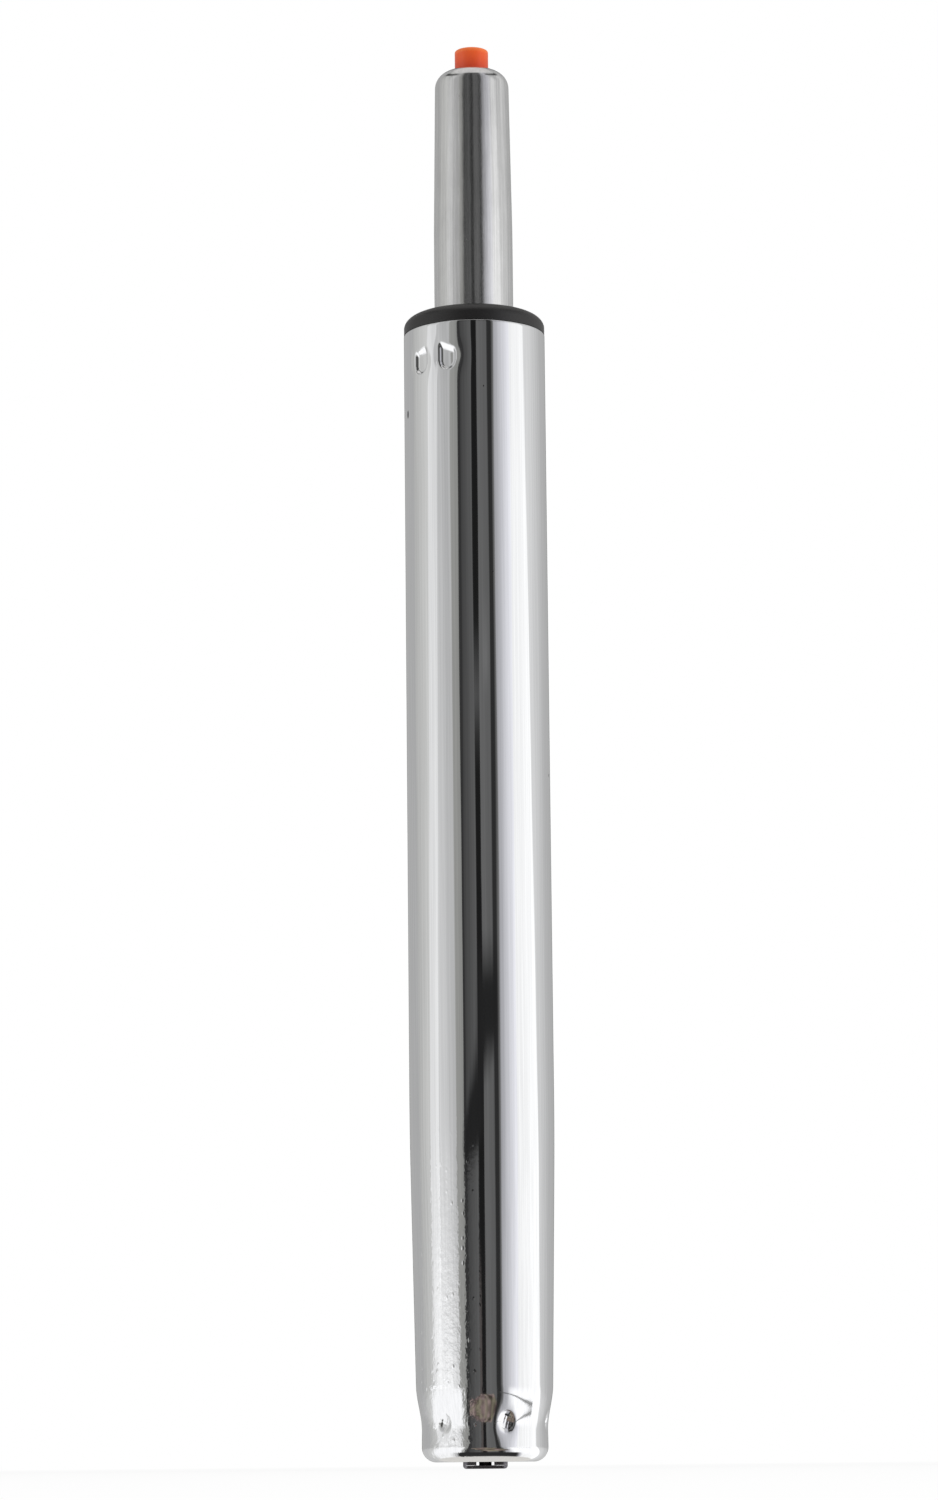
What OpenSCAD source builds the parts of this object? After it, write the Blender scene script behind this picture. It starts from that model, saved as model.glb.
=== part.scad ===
// Chair gas lift cylinder: a chromed column holds a guide sleeve, and a gas charged tube
// slides up out of it on a piston rod that stands on a ball bearing in the column's foot.
// It is drawn fully pressed in. Z = 0 is the column's bottom edge and Z is the axis.
// Angles are measured from the front, -Y, towards +X. All sizes are in millimetres.

/* [Column tube] */
// Outside diameter of the column tube
column_d = 50; // [49:0.5:52]
// Height from the bottom edge to the rim
column_h = 395; // [380:1:420]
// Wall of the column tube
column_wall = 1.8; // [1.6:0.1:2]
// Height where the taper that wedges into the chair base ends
base_taper_top = 112; // [100:1:130]
// Height where that taper begins, above the neck
base_taper_z = 24; // [23:0.5:28]
// Diameter that the taper loses over its length
base_taper_drop = 3.1; // [2.6:0.1:3.4]
// Outside diameter of the necked foot
neck_d = 43.2; // [42.8:0.1:44]
// Height up to which the neck is straight
neck_h = 8.8; // [8:0.1:9.5]
// Outside radius of the rolled bottom edge
edge_r = 5; // [4:0.1:6]
// Hole that the rolled in lip leaves
lip_hole_d = 28; // [27:0.5:30]
// Break of the sharp rim
rim_break = 0.3; // [0.1:0.1:0.5]

/* [Pressed stakes] */
// Height of the upper stakes' middle below the rim
upper_stake_drop = 13.9; // [12:0.1:16]
// How deep the upper stakes are pressed in
upper_stake_depth = 1.2; // [0.8:0.1:1.4]
// Width of their flat floor, which is round at its lower end
upper_stake_w = 4.2; // [3.6:0.1:4.8]
// Height of that floor
upper_stake_len = 5.9; // [5:0.1:7]
// How far the side walls spread for each millimetre of depth
upper_stake_spread = 1.2; // [0.4:0.1:1.4]
// How far the top wall rises for each millimetre of depth
upper_stake_rise = 1.9; // [0.5:0.1:2]
// Angles of the upper stakes on one side, repeated behind
upper_stake_angles = [-47.8, -21.7];
// Lean of each one's top edge, positive where it falls to the right
upper_stake_leans = [-22, 14];
// Height of the foot's ring of stakes
foot_stake_z = 13.5; // [13:0.1:14]
// How deep the foot's stakes are pressed in
foot_stake_depth = 1.3; // [1:0.1:1.5]
// Radius of the rounded punch that makes them
foot_punch_r = 4.5; // [4:0.1:5]
// Straight length of that punch
foot_stake_len = 5; // [4:0.1:5.5]
// Number of stakes round the foot
foot_stakes = 6; // [4:1:8]
// Angle of the first of them
foot_stake_angle = 16.5; // [0:0.5:60]

/* [Guide sleeve] */
// Length of the sleeve inside the column
sleeve_h = 100; // [90:1:110]
// Wall of the sleeve's inner barrel
sleeve_wall = 2.5; // [2:0.1:3]
// Radial play of the sleeve in the column
sleeve_play = 0.1; // [0.05:0.05:0.2]
// Height of the ring that closes the sleeve at the rim
sleeve_head_h = 24; // [22:1:28]
// Height of each lower ring
sleeve_ring_h = 6; // [4:1:10]
// Number of rings below the head ring
sleeve_rings = 3; // [2:1:4]
// Number of upright ribs
sleeve_ribs = 12; // [8:1:16]
// Thickness of a rib
sleeve_rib_t = 1.8; // [1.4:0.1:2.4]
// How far a rib stands back from the column's wall
rib_inset = 0.4; // [0.3:0.1:1]
// Collar height above the rim
collar_h = 7; // [6:0.1:8]
// Height of the collar's straight side
collar_side_h = 2.8; // [2:0.1:3.2]
// Step from the column's side in to the collar's side
collar_inset = 0.05; // [0:0.05:0.3]
// Width of the collar's flat top ring
collar_top_w = 3.6; // [2:0.1:5]
// Cone at the mouth of the collar, for the wiping edge
collar_mouth = 1.2; // [0.6:0.1:1.5]

/* [Gas tube] */
// Outside diameter of the gas tube
tube_d = 28; // [27.6:0.1:28.4]
// Wall of the gas tube
tube_wall = 1.5; // [1.4:0.1:1.8]
// Height of the tube's bottom edge when pressed in
tube_z = 34; // [33.5:0.1:36]
// Overall length of the tube
tube_h = 458.5; // [450:0.1:470]
// Length of the taper that wedges into the seat plate
seat_taper_h = 52; // [48:1:56]
// Diameter that the seat taper loses over its length
seat_taper_drop = 1.6; // [1.2:0.1:2]
// Radius of the rounded top shoulder
shoulder_r = 5.8; // [5:0.1:6]
// Running play between the tube and the guide sleeve
tube_play = 0.1; // [0.06:0.01:0.15]
// How far the seat rises
lift_travel = 260; // [240:1:262]
// Radius of the tube's rolled bottom edge
tube_edge_r = 2; // [1.8:0.1:2.4]
// Hole that the rolled bottom edge leaves
tube_bottom_hole_d = 18; // [16:0.5:20]

/* [Tube fittings] */
// Play of the fittings inside the tube
fitting_play = 0.1; // [0.05:0.01:0.15]
// Thickness of the steel ring in the tube's bottom
end_ring_t = 4.5; // [4:0.1:6]
// Height of the rubber rod seal
rod_seal_h = 6; // [5:0.1:8]
// Thickness of the washer above the seal
seal_washer_t = 1; // [0.8:0.1:1.5]
// Height of the rod guide's flange
rod_guide_h = 10; // [8:0.5:12]
// Height of the rod guide's spigot
rod_guide_spigot_h = 5; // [4:0.5:6]
// Inside diameter of the inner cylinder
inner_bore_d = 21.6; // [21:0.1:21.8]
// Wall of the inner cylinder
inner_wall = 0.9; // [0.7:0.1:1.1]
// Height of the valve body
valve_body_h = 40; // [36:1:42]
// Height of the valve body's spigot
valve_spigot_h = 6; // [5:0.5:8]
// Depth of the pocket for the pin seal
pin_seal_h = 3; // [2.5:0.1:4]
// Diameter of the pin seal
pin_seal_d = 9; // [8:0.1:10]
// Thickness of brass between the pin seal and the valve head
valve_land_h = 2; // [1.5:0.1:3]
// Height of the guide above the valve body
pin_guide_h = 9; // [8:0.5:10]
// Cross section of the valve body's sealing rings
ring_section = 1.8; // [1.6:0.1:2]
// Height of their grooves
ring_groove_h = 2.2; // [2:0.1:2.4]
// Heights of the rings on the valve body, as shares of its height
ring_levels = [0.3, 0.72];
// Gap left round the rubber rings
ring_gap = 0.05; // [0.03:0.01:0.1]
// Bevel of the rod seal's lips
rod_seal_lip = 1.2; // [0.8:0.1:1.5]

/* [Release button] */
// Diameter of the button
button_d = 12; // [11.6:0.1:12.4]
// How far it stands out of the tube
button_out = 8.2; // [7:0.1:9]
// Rounding of its top edge
button_edge = 0.6; // [0.3:0.1:1]
// How far it is pushed in
press_travel = 3; // [2:0.1:3.2]
// Play between the button and its hole
button_play = 0.2; // [0.15:0.05:0.3]
// Diameter of the flange that holds it in the tube
button_flange_d = 14.4; // [14:0.1:14.6]
// Thickness of that flange
button_flange_t = 2.4; // [2:0.1:2.8]
// Diameter of the valve pin
pin_d = 3; // [2.6:0.1:3.2]
// Diameter of the pin's valve head
pin_head_d = 5; // [4.6:0.1:5.4]
// Height of that head
pin_head_h = 3; // [2.5:0.1:3.5]
// Gap round the head, which the gas passes
valve_head_gap = 0.25; // [0.2:0.05:0.4]
// Depth of the pin's socket in the button
pin_socket_h = 6; // [4:0.5:8]
// Running play round the pin
pin_play = 0.08; // [0.06:0.01:0.1]
// Gap left under the button when it is pressed
button_end_gap = 0.5; // [0.3:0.1:1]

/* [Piston rod] */
// Diameter of the rod
rod_d = 10; // [9.6:0.1:10.4]
// Diameter of the rod's lower end
rod_end_d = 8; // [7.6:0.1:8.4]
// Diameter of the groove for the clip
rod_groove_d = 4.3; // [4:0.1:4.6]
// Diameter of the head below the clip
rod_head_d = 7.6; // [7.4:0.1:7.8]
// Play between the rod and what it slides or turns in
rod_play = 0.08; // [0.05:0.01:0.1]
// Play between the rod and the washers that only stand round it
rod_washer_play = 0.16; // [0.1:0.01:0.2]
// Diameter of the piston's seat on the rod
rod_seat_d = 7; // [6.6:0.1:7.4]
// Chamfer at the rod's upper end and at the piston's corners
rod_chamfer = 0.6; // [0.3:0.1:0.8]
// Chamfer round the rod's head
rod_head_chamfer = 0.3; // [0.2:0.1:0.5]
// Height of the piston
piston_h = 12; // [10:0.5:14]
// Radial play of the piston in the inner cylinder
piston_play = 0.1; // [0.08:0.01:0.15]
// Height of the piston ring
piston_ring_h = 4; // [3:0.1:5]
// Depth of its groove
piston_ring_depth = 1.6; // [1.2:0.1:2]
// Thickness of the washer on the piston
piston_washer_t = 1.5; // [1:0.1:2]
// Diameter of that washer
piston_washer_d = 16; // [14:0.5:18]
// Height of the nut
nut_h = 5; // [4:0.1:6]
// Width of the nut across its flats
nut_af = 11; // [10.5:0.1:12]
// How far its round top face stands in from the flats
nut_face_inset = 0.1; // [0.05:0.05:0.3]
// Height of rod that shows above the nut
rod_end_out = 1.5; // [1:0.1:2.5]
// Free travel left between the piston and the rod guide
end_play = 1; // [0.5:0.1:2]

/* [Foot bearing] */
// Height of the bearing's seat in the base bush
bearing_z = 12; // [11.5:0.1:13]
// Outside diameter of the bearing
bearing_d = 24; // [23.5:0.1:24.5]
// Height of the bearing
bearing_h = 9; // [8.8:0.1:9.2]
// Thickness of each race
race_t = 2.9; // [2.7:0.1:3]
// Diameter of the balls
ball_d = 4.76; // [4.6:0.01:4.8]
// Diameter of the circle that the balls run on
ball_circle_d = 16.8; // [16.6:0.1:17]
// Number of balls
balls = 10; // [8:1:10]
// Play round a ball in its grooves
ball_play = 0.06; // [0.03:0.01:0.1]
// Play round the race that stands still
lower_race_play = 0.2; // [0.1:0.05:0.3]
// Step in from that race to the race that turns
upper_race_inset = 0.1; // [0.05:0.05:0.2]
// Bore of the race that stands still
lower_race_bore_d = 10.4; // [10:0.1:11]
// Thickness of the cage
cage_t = 1.8; // [1.4:0.1:2]
// Step in from the races' edges to the cage's edges
cage_inset = 0.5; // [0.3:0.1:0.8]
// Thickness of the washer under the rod's shoulder
support_washer_t = 2; // [1.6:0.1:2.2]
// Diameter of the support washer
support_washer_d = 22; // [20:0.5:23]
// Diameter of the rubber bumper
bumper_d = 23; // [20:0.5:23.5]
// Depth of the bumper's waist
bumper_waist = 2; // [1:0.1:3]
// Height of the straight land above and below that waist
bumper_land_h = 2.1; // [1.5:0.1:3]
// Chamfer at the bumper's corners
bumper_chamfer = 1; // [0.5:0.1:1.4]
// Gap between the bumper and the tube when pressed in
bumper_gap = 0.3; // [0.2:0.1:0.5]

/* [Base bush] */
// Height of the bush's top face
bush_top = 24; // [23.5:0.1:25]
// Thickness of the rim round its pocket
bush_rim_h = 3; // [2.8:0.1:3.4]
// Play between the bush and the column
bush_play = 0.1; // [0.05:0.05:0.15]
// Play between the bush and the stakes
stake_play = 0.15; // [0.1:0.05:0.2]
// Gap between that rim and the column
bush_rim_gap = 0.35; // [0.3:0.05:0.5]

/* [Retaining clip] */
// Thickness of the washer above the clip
clip_washer_t = 1.7; // [1.5:0.05:1.75]
// Diameter of that washer
clip_washer_d = 26; // [24:0.5:26.5]
// Thickness of the clip's spring steel
clip_t = 1.1; // [0.8:0.05:1.15]
// Gap between the clip's two leaves
clip_leaf_gap = 0.1; // [0.05:0.05:0.3]
// Width of the clip across its bends
clip_w = 15.2; // [14.5:0.1:16]
// Length of the clip along Y
clip_l = 13; // [12:0.5:15]
// Slot between the clip's two upper legs
clip_slot = 6.1; // [5.4:0.1:6.4]
// Play between the clip and the rod's groove
clip_play = 0.05; // [0.03:0.01:0.1]
// Play between the clip's lower leaf and the rod's head
clip_head_play = 0.15; // [0.1:0.01:0.2]
// Corner radius of the clip seen from below
clip_corner = 2; // [1:0.1:3]
// Radius of the clip's lower edges, where its strip is bent up
clip_bend_r = 1.1; // [0.8:0.1:1.4]

/* [Hidden] */
$fn = 96;
cut = 0.01;
edge_steps = 8;
blend_steps = 10;
dome_steps = 8;
punch_over = 1;
steel = [0.72, 0.73, 0.75];
dark_steel = [0.24, 0.24, 0.26];
zinc = [0.66, 0.67, 0.66];
black_plastic = [0.16, 0.16, 0.17];
white_plastic = [0.86, 0.85, 0.8];
rubber = [0.12, 0.12, 0.12];
brass = [0.72, 0.58, 0.3];

// Column
column_r = column_d / 2;
neck_r = neck_d / 2;
column_bore_r = column_r - column_wall;
cone_slope = base_taper_drop / 2 / (base_taper_top - base_taper_z);

function arc_points(x, z, r, from, to, steps) = [
    for (i = [0 : steps])
        let (a = from + (to - from) * i / steps)
        [x + r * cos(a), z + r * sin(a)]
];
function ease(t) = t * t * (3 - 2 * t);
function cone_r(z) = column_r - (base_taper_top - z) * cone_slope;
function blend_r(z) =
    let (t = (z - neck_h) / (base_taper_z - neck_h))
    neck_r + (cone_r(z) - neck_r) * ease(t);
function column_outer_r(z) =
    z > base_taper_top ? column_r : z > base_taper_z ? cone_r(z) : z > neck_h ? blend_r(z) : neck_r;
function flank_points(inset) = concat(
    [
        for (i = [0 : blend_steps])
            let (z = neck_h + (base_taper_z - neck_h) * i / blend_steps)
            [blend_r(z) - inset, z]
    ],
    [[column_r - inset, base_taper_top]]
);
function backwards(list) = [for (i = [len(list) - 1 : -1 : 0]) list[i]];

// Stakes: a punch sinks the wall to a given depth
upper_stake_z = column_h - upper_stake_drop;
foot_punch_x = column_outer_r(foot_stake_z) - foot_stake_depth + foot_punch_r;

// Guide sleeve and collar
sleeve_z = column_h - sleeve_h;
sleeve_bore_r = tube_d / 2 + tube_play;
sleeve_r = column_bore_r - sleeve_play;
collar_r = column_r - collar_inset;
collar_top = column_h + collar_h;
collar_top_r = sleeve_bore_r + collar_mouth + collar_top_w;

// Gas tube
tube_r = tube_d / 2;
tube_bore_r = tube_r - tube_wall;
tube_top = tube_z + tube_h;
shoulder_z = tube_top - shoulder_r;
seat_taper_z = shoulder_z - seat_taper_h;
seat_taper_r = tube_r - seat_taper_drop / 2;
button_hole_r = button_d / 2 + button_play;
function tube_bore_at(z) =
    z < seat_taper_z ? tube_bore_r : tube_bore_r - (z - seat_taper_z) / seat_taper_h * seat_taper_drop / 2;

// What stands in the tube's bottom, from below
end_ring_z = tube_z + tube_wall;
rod_seal_z = end_ring_z + end_ring_t;
seal_washer_z = rod_seal_z + rod_seal_h;
rod_guide_z = seal_washer_z + seal_washer_t;
inner_cylinder_z = rod_guide_z + rod_guide_h;
rod_guide_top = inner_cylinder_z + rod_guide_spigot_h;
rod_bore_r = rod_d / 2 + rod_play;
rod_washer_bore_r = rod_d / 2 + rod_washer_play;
fitting_r = tube_bore_r - fitting_play;
inner_bore_r = inner_bore_d / 2;
inner_outer_r = inner_bore_r + inner_wall;

// What hangs in the tube's top, from above
button_lip_z = tube_top - tube_wall;
button_z = button_lip_z - button_flange_t;
pin_guide_top = button_z - press_travel - button_end_gap;
pin_guide_z = pin_guide_top - pin_guide_h;
valve_body_z = pin_guide_z - valve_body_h;
valve_seat_z = pin_guide_z - pin_seal_h;
valve_face_z = valve_seat_z - valve_land_h;
valve_bore_r = pin_head_d / 2 + valve_head_gap;
pin_r = pin_d / 2;

// Rod
rod_r = rod_d / 2;
rod_end_r = rod_end_d / 2;
rod_seat_r = rod_seat_d / 2;
bearing_top = bearing_z + bearing_h;
rod_shoulder_z = bearing_top + support_washer_t;
bumper_top = tube_z - bumper_gap;
piston_z = rod_guide_top + lift_travel + end_play;
piston_washer_z = piston_z + piston_h;
nut_z = piston_washer_z + piston_washer_t;
rod_top = nut_z + nut_h + rod_end_out;
piston_r = inner_bore_r - piston_play;
rod_end_bore_r = rod_end_r + rod_washer_play;
piston_ring_z = piston_z + (piston_h - piston_ring_h) / 2;

// Bearing
race_r = bearing_d / 2;
ball_r = ball_d / 2;
ball_circle_r = ball_circle_d / 2;
ball_z = bearing_z + bearing_h / 2;
race_groove_r = ball_r + ball_play;
bearing_pocket_r = race_r + lower_race_play;
bumper_r = bumper_d / 2;

// Foot
clip_h = 2 * clip_t + clip_leaf_gap;
head_top = -clip_t - clip_play;

// A flat nosed punch facing -Y, round below, with a sloping wall over a leaning edge above
module upper_punch(grow, lean) {
    nose_w = upper_stake_w / 2 + grow;
    nose_y = upper_stake_depth + grow - column_r;
    reach = upper_stake_depth + grow + punch_over;
    butt_w = nose_w + reach * upper_stake_spread;
    bottom = -upper_stake_len / 2 + upper_stake_w / 2;
    top = upper_stake_len / 2 + grow;
    translate([0, 0, upper_stake_z]) intersection() {
        union() {
            translate([0, nose_y, bottom]) rotate([90, 0, 0]) cylinder(r1 = nose_w, r2 = butt_w, h = reach);
            translate([0, 0, bottom]) linear_extrude(height = column_r)
                polygon([
                    [-nose_w, nose_y], [nose_w, nose_y], [butt_w, nose_y - reach], [-butt_w, nose_y - reach]
                ]);
        }
        rotate([0, lean, 0]) translate([0, nose_y, top]) rotate([-atan(upper_stake_rise), 0, 0])
            translate([-column_r, -column_r, -2 * column_r]) cube(2 * column_r);
    }
}

module upper_punches(grow) {
    for (side = [0, 180], i = [0 : len(upper_stake_angles) - 1]) {
        rotate([0, 0, side + upper_stake_angles[i]]) upper_punch(grow, upper_stake_leans[i]);
    }
}

// A round nosed punch
module foot_punches(grow) {
    for (i = [0 : foot_stakes - 1]) {
        rotate([0, 0, foot_stake_angle + i * 360 / foot_stakes])
            translate([0, -foot_punch_x, foot_stake_z - foot_stake_len / 2]) {
                cylinder(r = foot_punch_r + grow, h = foot_stake_len);
                sphere(r = foot_punch_r + grow);
                translate([0, 0, foot_stake_len]) sphere(r = foot_punch_r + grow);
            }
    }
}

// The whole outside of the column, filled
module column_outline() {
    rotate_extrude()
        polygon(concat(
            [[0, 0]],
            arc_points(neck_r - edge_r, edge_r, edge_r, -90, 0, edge_steps),
            flank_points(0),
            [[column_r, column_h - rim_break], [column_r - rim_break, column_h], [0, column_h]]
        ));
}

// The drawn wall, with its rolled in lip
module column_wall_ring() {
    rotate_extrude()
        polygon(concat(
            [[lip_hole_d / 2, 0]],
            arc_points(neck_r - edge_r, edge_r, edge_r, -90, 0, edge_steps),
            flank_points(0),
            [[column_r, column_h - rim_break], [column_r - rim_break, column_h]],
            [[column_bore_r, column_h]],
            backwards(flank_points(column_wall)),
            arc_points(neck_r - edge_r, edge_r, edge_r - column_wall, 0, -90, edge_steps),
            [[lip_hole_d / 2, column_wall]]
        ));
}

module column_tube() {
    color(steel) difference() {
        union() {
            column_wall_ring();
            intersection() {
                column_outline();
                union() {
                    upper_punches(column_wall);
                    foot_punches(column_wall);
                }
            }
        }
        upper_punches(0);
        foot_punches(0);
    }
}

module sleeve_ring(z, h) {
    translate([0, 0, z]) difference() {
        cylinder(r = sleeve_r, h = h);
        translate([0, 0, -cut]) cylinder(r = sleeve_bore_r, h = h + 2 * cut);
    }
}

module guide_sleeve() {
    ring_pitch = (sleeve_h - sleeve_head_h) / sleeve_rings;
    rib_x = sleeve_bore_r + sleeve_wall / 2;
    dome_w = collar_r - collar_top_r;
    dome_h = collar_h - collar_side_h;
    color(black_plastic) {
        difference() {
            union() {
                difference() {
                    union() {
                        sleeve_ring(column_h - sleeve_head_h, sleeve_head_h);
                        for (i = [0 : sleeve_rings - 1]) {
                            sleeve_ring(sleeve_z + i * ring_pitch, sleeve_ring_h);
                        }
                        for (i = [0 : sleeve_ribs - 1]) {
                            rotate([0, 0, i * 360 / sleeve_ribs])
                                translate([rib_x, -sleeve_rib_t / 2, sleeve_z])
                                cube([sleeve_r - rib_inset - rib_x, sleeve_rib_t, sleeve_h]);
                        }
                        translate([0, 0, sleeve_z]) cylinder(r = sleeve_bore_r + sleeve_wall, h = sleeve_h);
                    }
                    upper_punches(column_wall + stake_play);
                }
                rotate_extrude()
                    polygon(concat(
                        [[sleeve_bore_r, column_h], [collar_r, column_h]],
                        [
                            for (i = [0 : dome_steps])
                                let (a = 90 * i / dome_steps)
                                [collar_top_r + dome_w * cos(a), column_h + collar_side_h + dome_h * sin(a)]
                        ],
                        [[sleeve_bore_r, collar_top]]
                    ));
            }
            translate([0, 0, sleeve_z - cut]) cylinder(r = sleeve_bore_r, h = collar_top - sleeve_z + 2 * cut);
            translate([0, 0, collar_top - collar_mouth])
                cylinder(r1 = sleeve_bore_r, r2 = sleeve_bore_r + collar_mouth + cut, h = collar_mouth + cut);
        }
    }
}

// A turned steel bush: the stakes lock in its waist and the bearing stands in its pocket
module base_bush() {
    reach = foot_punch_r + column_wall;
    foot_land_r = neck_r - column_wall - bush_play;
    waist_r = foot_punch_x - reach - stake_play;
    rim_r = column_outer_r(bush_top - bush_rim_h) - column_wall - bush_rim_gap;
    waist_bottom = foot_stake_z - foot_stake_len / 2
        - sqrt(pow(reach, 2) - pow(foot_punch_x - foot_land_r, 2)) - stake_play;
    waist_top = foot_stake_z + foot_stake_len / 2
        + sqrt(pow(reach, 2) - pow(foot_punch_x - rim_r, 2)) + stake_play;
    color(zinc) rotate_extrude()
        polygon(concat(
            [[rod_end_bore_r, column_wall], [neck_r - edge_r, column_wall]],
            arc_points(neck_r - edge_r, edge_r, edge_r - column_wall - bush_play, -90, 0, edge_steps),
            [[foot_land_r, waist_bottom], [waist_r, waist_bottom], [waist_r, waist_top]],
            [[rim_r, waist_top], [rim_r, bush_top]],
            [[bearing_pocket_r, bush_top], [bearing_pocket_r, bearing_z], [rod_end_bore_r, bearing_z]]
        ));
}

module race(z, bore_r, outer_r) {
    difference() {
        translate([0, 0, z]) cylinder(r = outer_r, h = race_t);
        translate([0, 0, z - cut]) cylinder(r = bore_r, h = race_t + 2 * cut);
        rotate_extrude() translate([ball_circle_r, ball_z]) circle(r = race_groove_r, $fn = 48);
    }
}

module lower_race() {
    color(steel) race(bearing_z, lower_race_bore_d / 2, race_r);
}

module upper_race() {
    color(steel) race(bearing_top - race_t, rod_end_bore_r, race_r - upper_race_inset);
}

module ball_cage() {
    color(brass) difference() {
        translate([0, 0, ball_z - cage_t / 2]) cylinder(r = race_r - cage_inset, h = cage_t);
        translate([0, 0, ball_z - cage_t]) cylinder(r = lower_race_bore_d / 2 + cage_inset, h = 2 * cage_t);
        for (i = [0 : balls - 1]) {
            rotate([0, 0, i * 360 / balls])
                translate([ball_circle_r, 0, ball_z - cage_t]) cylinder(r = race_groove_r, h = 2 * cage_t, $fn = 48);
        }
    }
}

module bearing_balls() {
    color(steel) for (i = [0 : balls - 1]) {
        rotate([0, 0, i * 360 / balls]) translate([ball_circle_r, 0, ball_z]) sphere(r = ball_r, $fn = 48);
    }
}

module washer(z, outer_r, bore_r, t) {
    difference() {
        translate([0, 0, z]) cylinder(r = outer_r, h = t);
        translate([0, 0, z - cut]) cylinder(r = bore_r, h = t + 2 * cut);
    }
}

module support_washer() {
    color(zinc) washer(bearing_top, support_washer_d / 2, rod_end_bore_r, support_washer_t);
}

// A rubber spool that takes the tube's landing
module rubber_bumper() {
    waist_z = rod_shoulder_z + bumper_land_h;
    waist_h = bumper_top - bumper_land_h - waist_z;
    corner_r = bumper_r - bumper_chamfer;
    color(rubber) rotate_extrude()
        polygon(concat(
            [[rod_bore_r, rod_shoulder_z], [corner_r, rod_shoulder_z], [bumper_r, rod_shoulder_z + bumper_chamfer]],
            [
                for (i = [0 : edge_steps])
                    let (t = i / edge_steps)
                    [bumper_r - bumper_waist * sin(180 * t), waist_z + waist_h * t]
            ],
            [[bumper_r, bumper_top - bumper_chamfer], [corner_r, bumper_top], [rod_bore_r, bumper_top]]
        ));
}

module piston_rod() {
    groove_top = clip_play;
    head_r = rod_head_d / 2;
    color(steel) rotate_extrude()
        polygon([
            [0, -clip_h],
            [head_r - rod_head_chamfer, -clip_h],
            [head_r, -clip_h + rod_head_chamfer],
            [head_r, head_top],
            [rod_groove_d / 2, head_top],
            [rod_groove_d / 2, groove_top],
            [rod_end_r, groove_top],
            [rod_end_r, rod_shoulder_z],
            [rod_r, rod_shoulder_z],
            [rod_r, piston_z],
            [rod_seat_r, piston_z],
            [rod_seat_r, rod_top - rod_chamfer],
            [rod_seat_r - rod_chamfer, rod_top],
            [0, rod_top]
        ]);
}

module piston() {
    color(white_plastic) rotate_extrude()
        polygon([
            [rod_seat_r, piston_z],
            [piston_r - rod_chamfer, piston_z],
            [piston_r, piston_z + rod_chamfer],
            [piston_r, piston_ring_z],
            [piston_r - piston_ring_depth, piston_ring_z],
            [piston_r - piston_ring_depth, piston_ring_z + piston_ring_h],
            [piston_r, piston_ring_z + piston_ring_h],
            [piston_r, piston_washer_z - rod_chamfer],
            [piston_r - rod_chamfer, piston_washer_z],
            [rod_seat_r, piston_washer_z]
        ]);
}

module piston_ring() {
    color(rubber) washer(piston_ring_z, inner_bore_r - ring_gap, piston_r - piston_ring_depth, piston_ring_h);
}

module piston_washer() {
    color(zinc) washer(piston_washer_z, piston_washer_d / 2, rod_seat_r, piston_washer_t);
}

module piston_nut() {
    face_r = nut_af / 2 - nut_face_inset;
    color(zinc) difference() {
        intersection() {
            translate([0, 0, nut_z]) cylinder(r = nut_af / sqrt(3), h = nut_h, $fn = 6);
            translate([0, 0, nut_z]) cylinder(r1 = face_r + nut_h, r2 = face_r, h = nut_h);
        }
        translate([0, 0, nut_z - cut]) cylinder(r = rod_seat_r, h = nut_h + 2 * cut);
    }
}

module clip_washer() {
    color(zinc) washer(0, clip_washer_d / 2, rod_end_bore_r, clip_washer_t);
}

// Spring steel folded to two leaves: the upper legs sit in the rod's groove and the lower
// leaf snaps round the rod's head
module retaining_clip() {
    inner_w = clip_w - 2 * clip_t;
    color(dark_steel) difference() {
        intersection() {
            translate([0, clip_l / 2, 0]) rotate([90, 0, 0]) linear_extrude(height = clip_l) union() {
                for (side = [-1, 1]) {
                    translate([side * (clip_w / 2 - clip_bend_r), clip_bend_r - clip_h])
                        circle(r = clip_bend_r, $fn = 32);
                }
                translate([-clip_w / 2, clip_bend_r - clip_h]) square([clip_w, clip_h - clip_bend_r]);
                translate([-clip_w / 2 + clip_bend_r, -clip_h]) square([clip_w - 2 * clip_bend_r, clip_h]);
            }
            translate([0, 0, -clip_h - cut]) union() {
                for (x = [-1, 1], y = [-1, 1]) {
                    translate([x * (clip_w / 2 - clip_corner), y * (clip_l / 2 - clip_corner), 0])
                        cylinder(r = clip_corner, h = clip_h + 2 * cut, $fn = 32);
                }
                translate([-clip_w / 2, -clip_l / 2 + clip_corner, 0])
                    cube([clip_w, clip_l - 2 * clip_corner, clip_h + 2 * cut]);
                translate([-clip_w / 2 + clip_corner, -clip_l / 2, 0])
                    cube([clip_w - 2 * clip_corner, clip_l, clip_h + 2 * cut]);
            }
        }
        translate([-inner_w / 2, -clip_l, -clip_t - clip_leaf_gap]) cube([inner_w, 2 * clip_l, clip_leaf_gap]);
        translate([-clip_slot / 2, -clip_l, -clip_t - cut]) cube([clip_slot, 2 * clip_l, clip_t + 2 * cut]);
        translate([0, 0, -clip_h - cut]) cylinder(r = rod_head_d / 2 + clip_head_play, h = clip_t + 2 * cut);
    }
}

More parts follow.
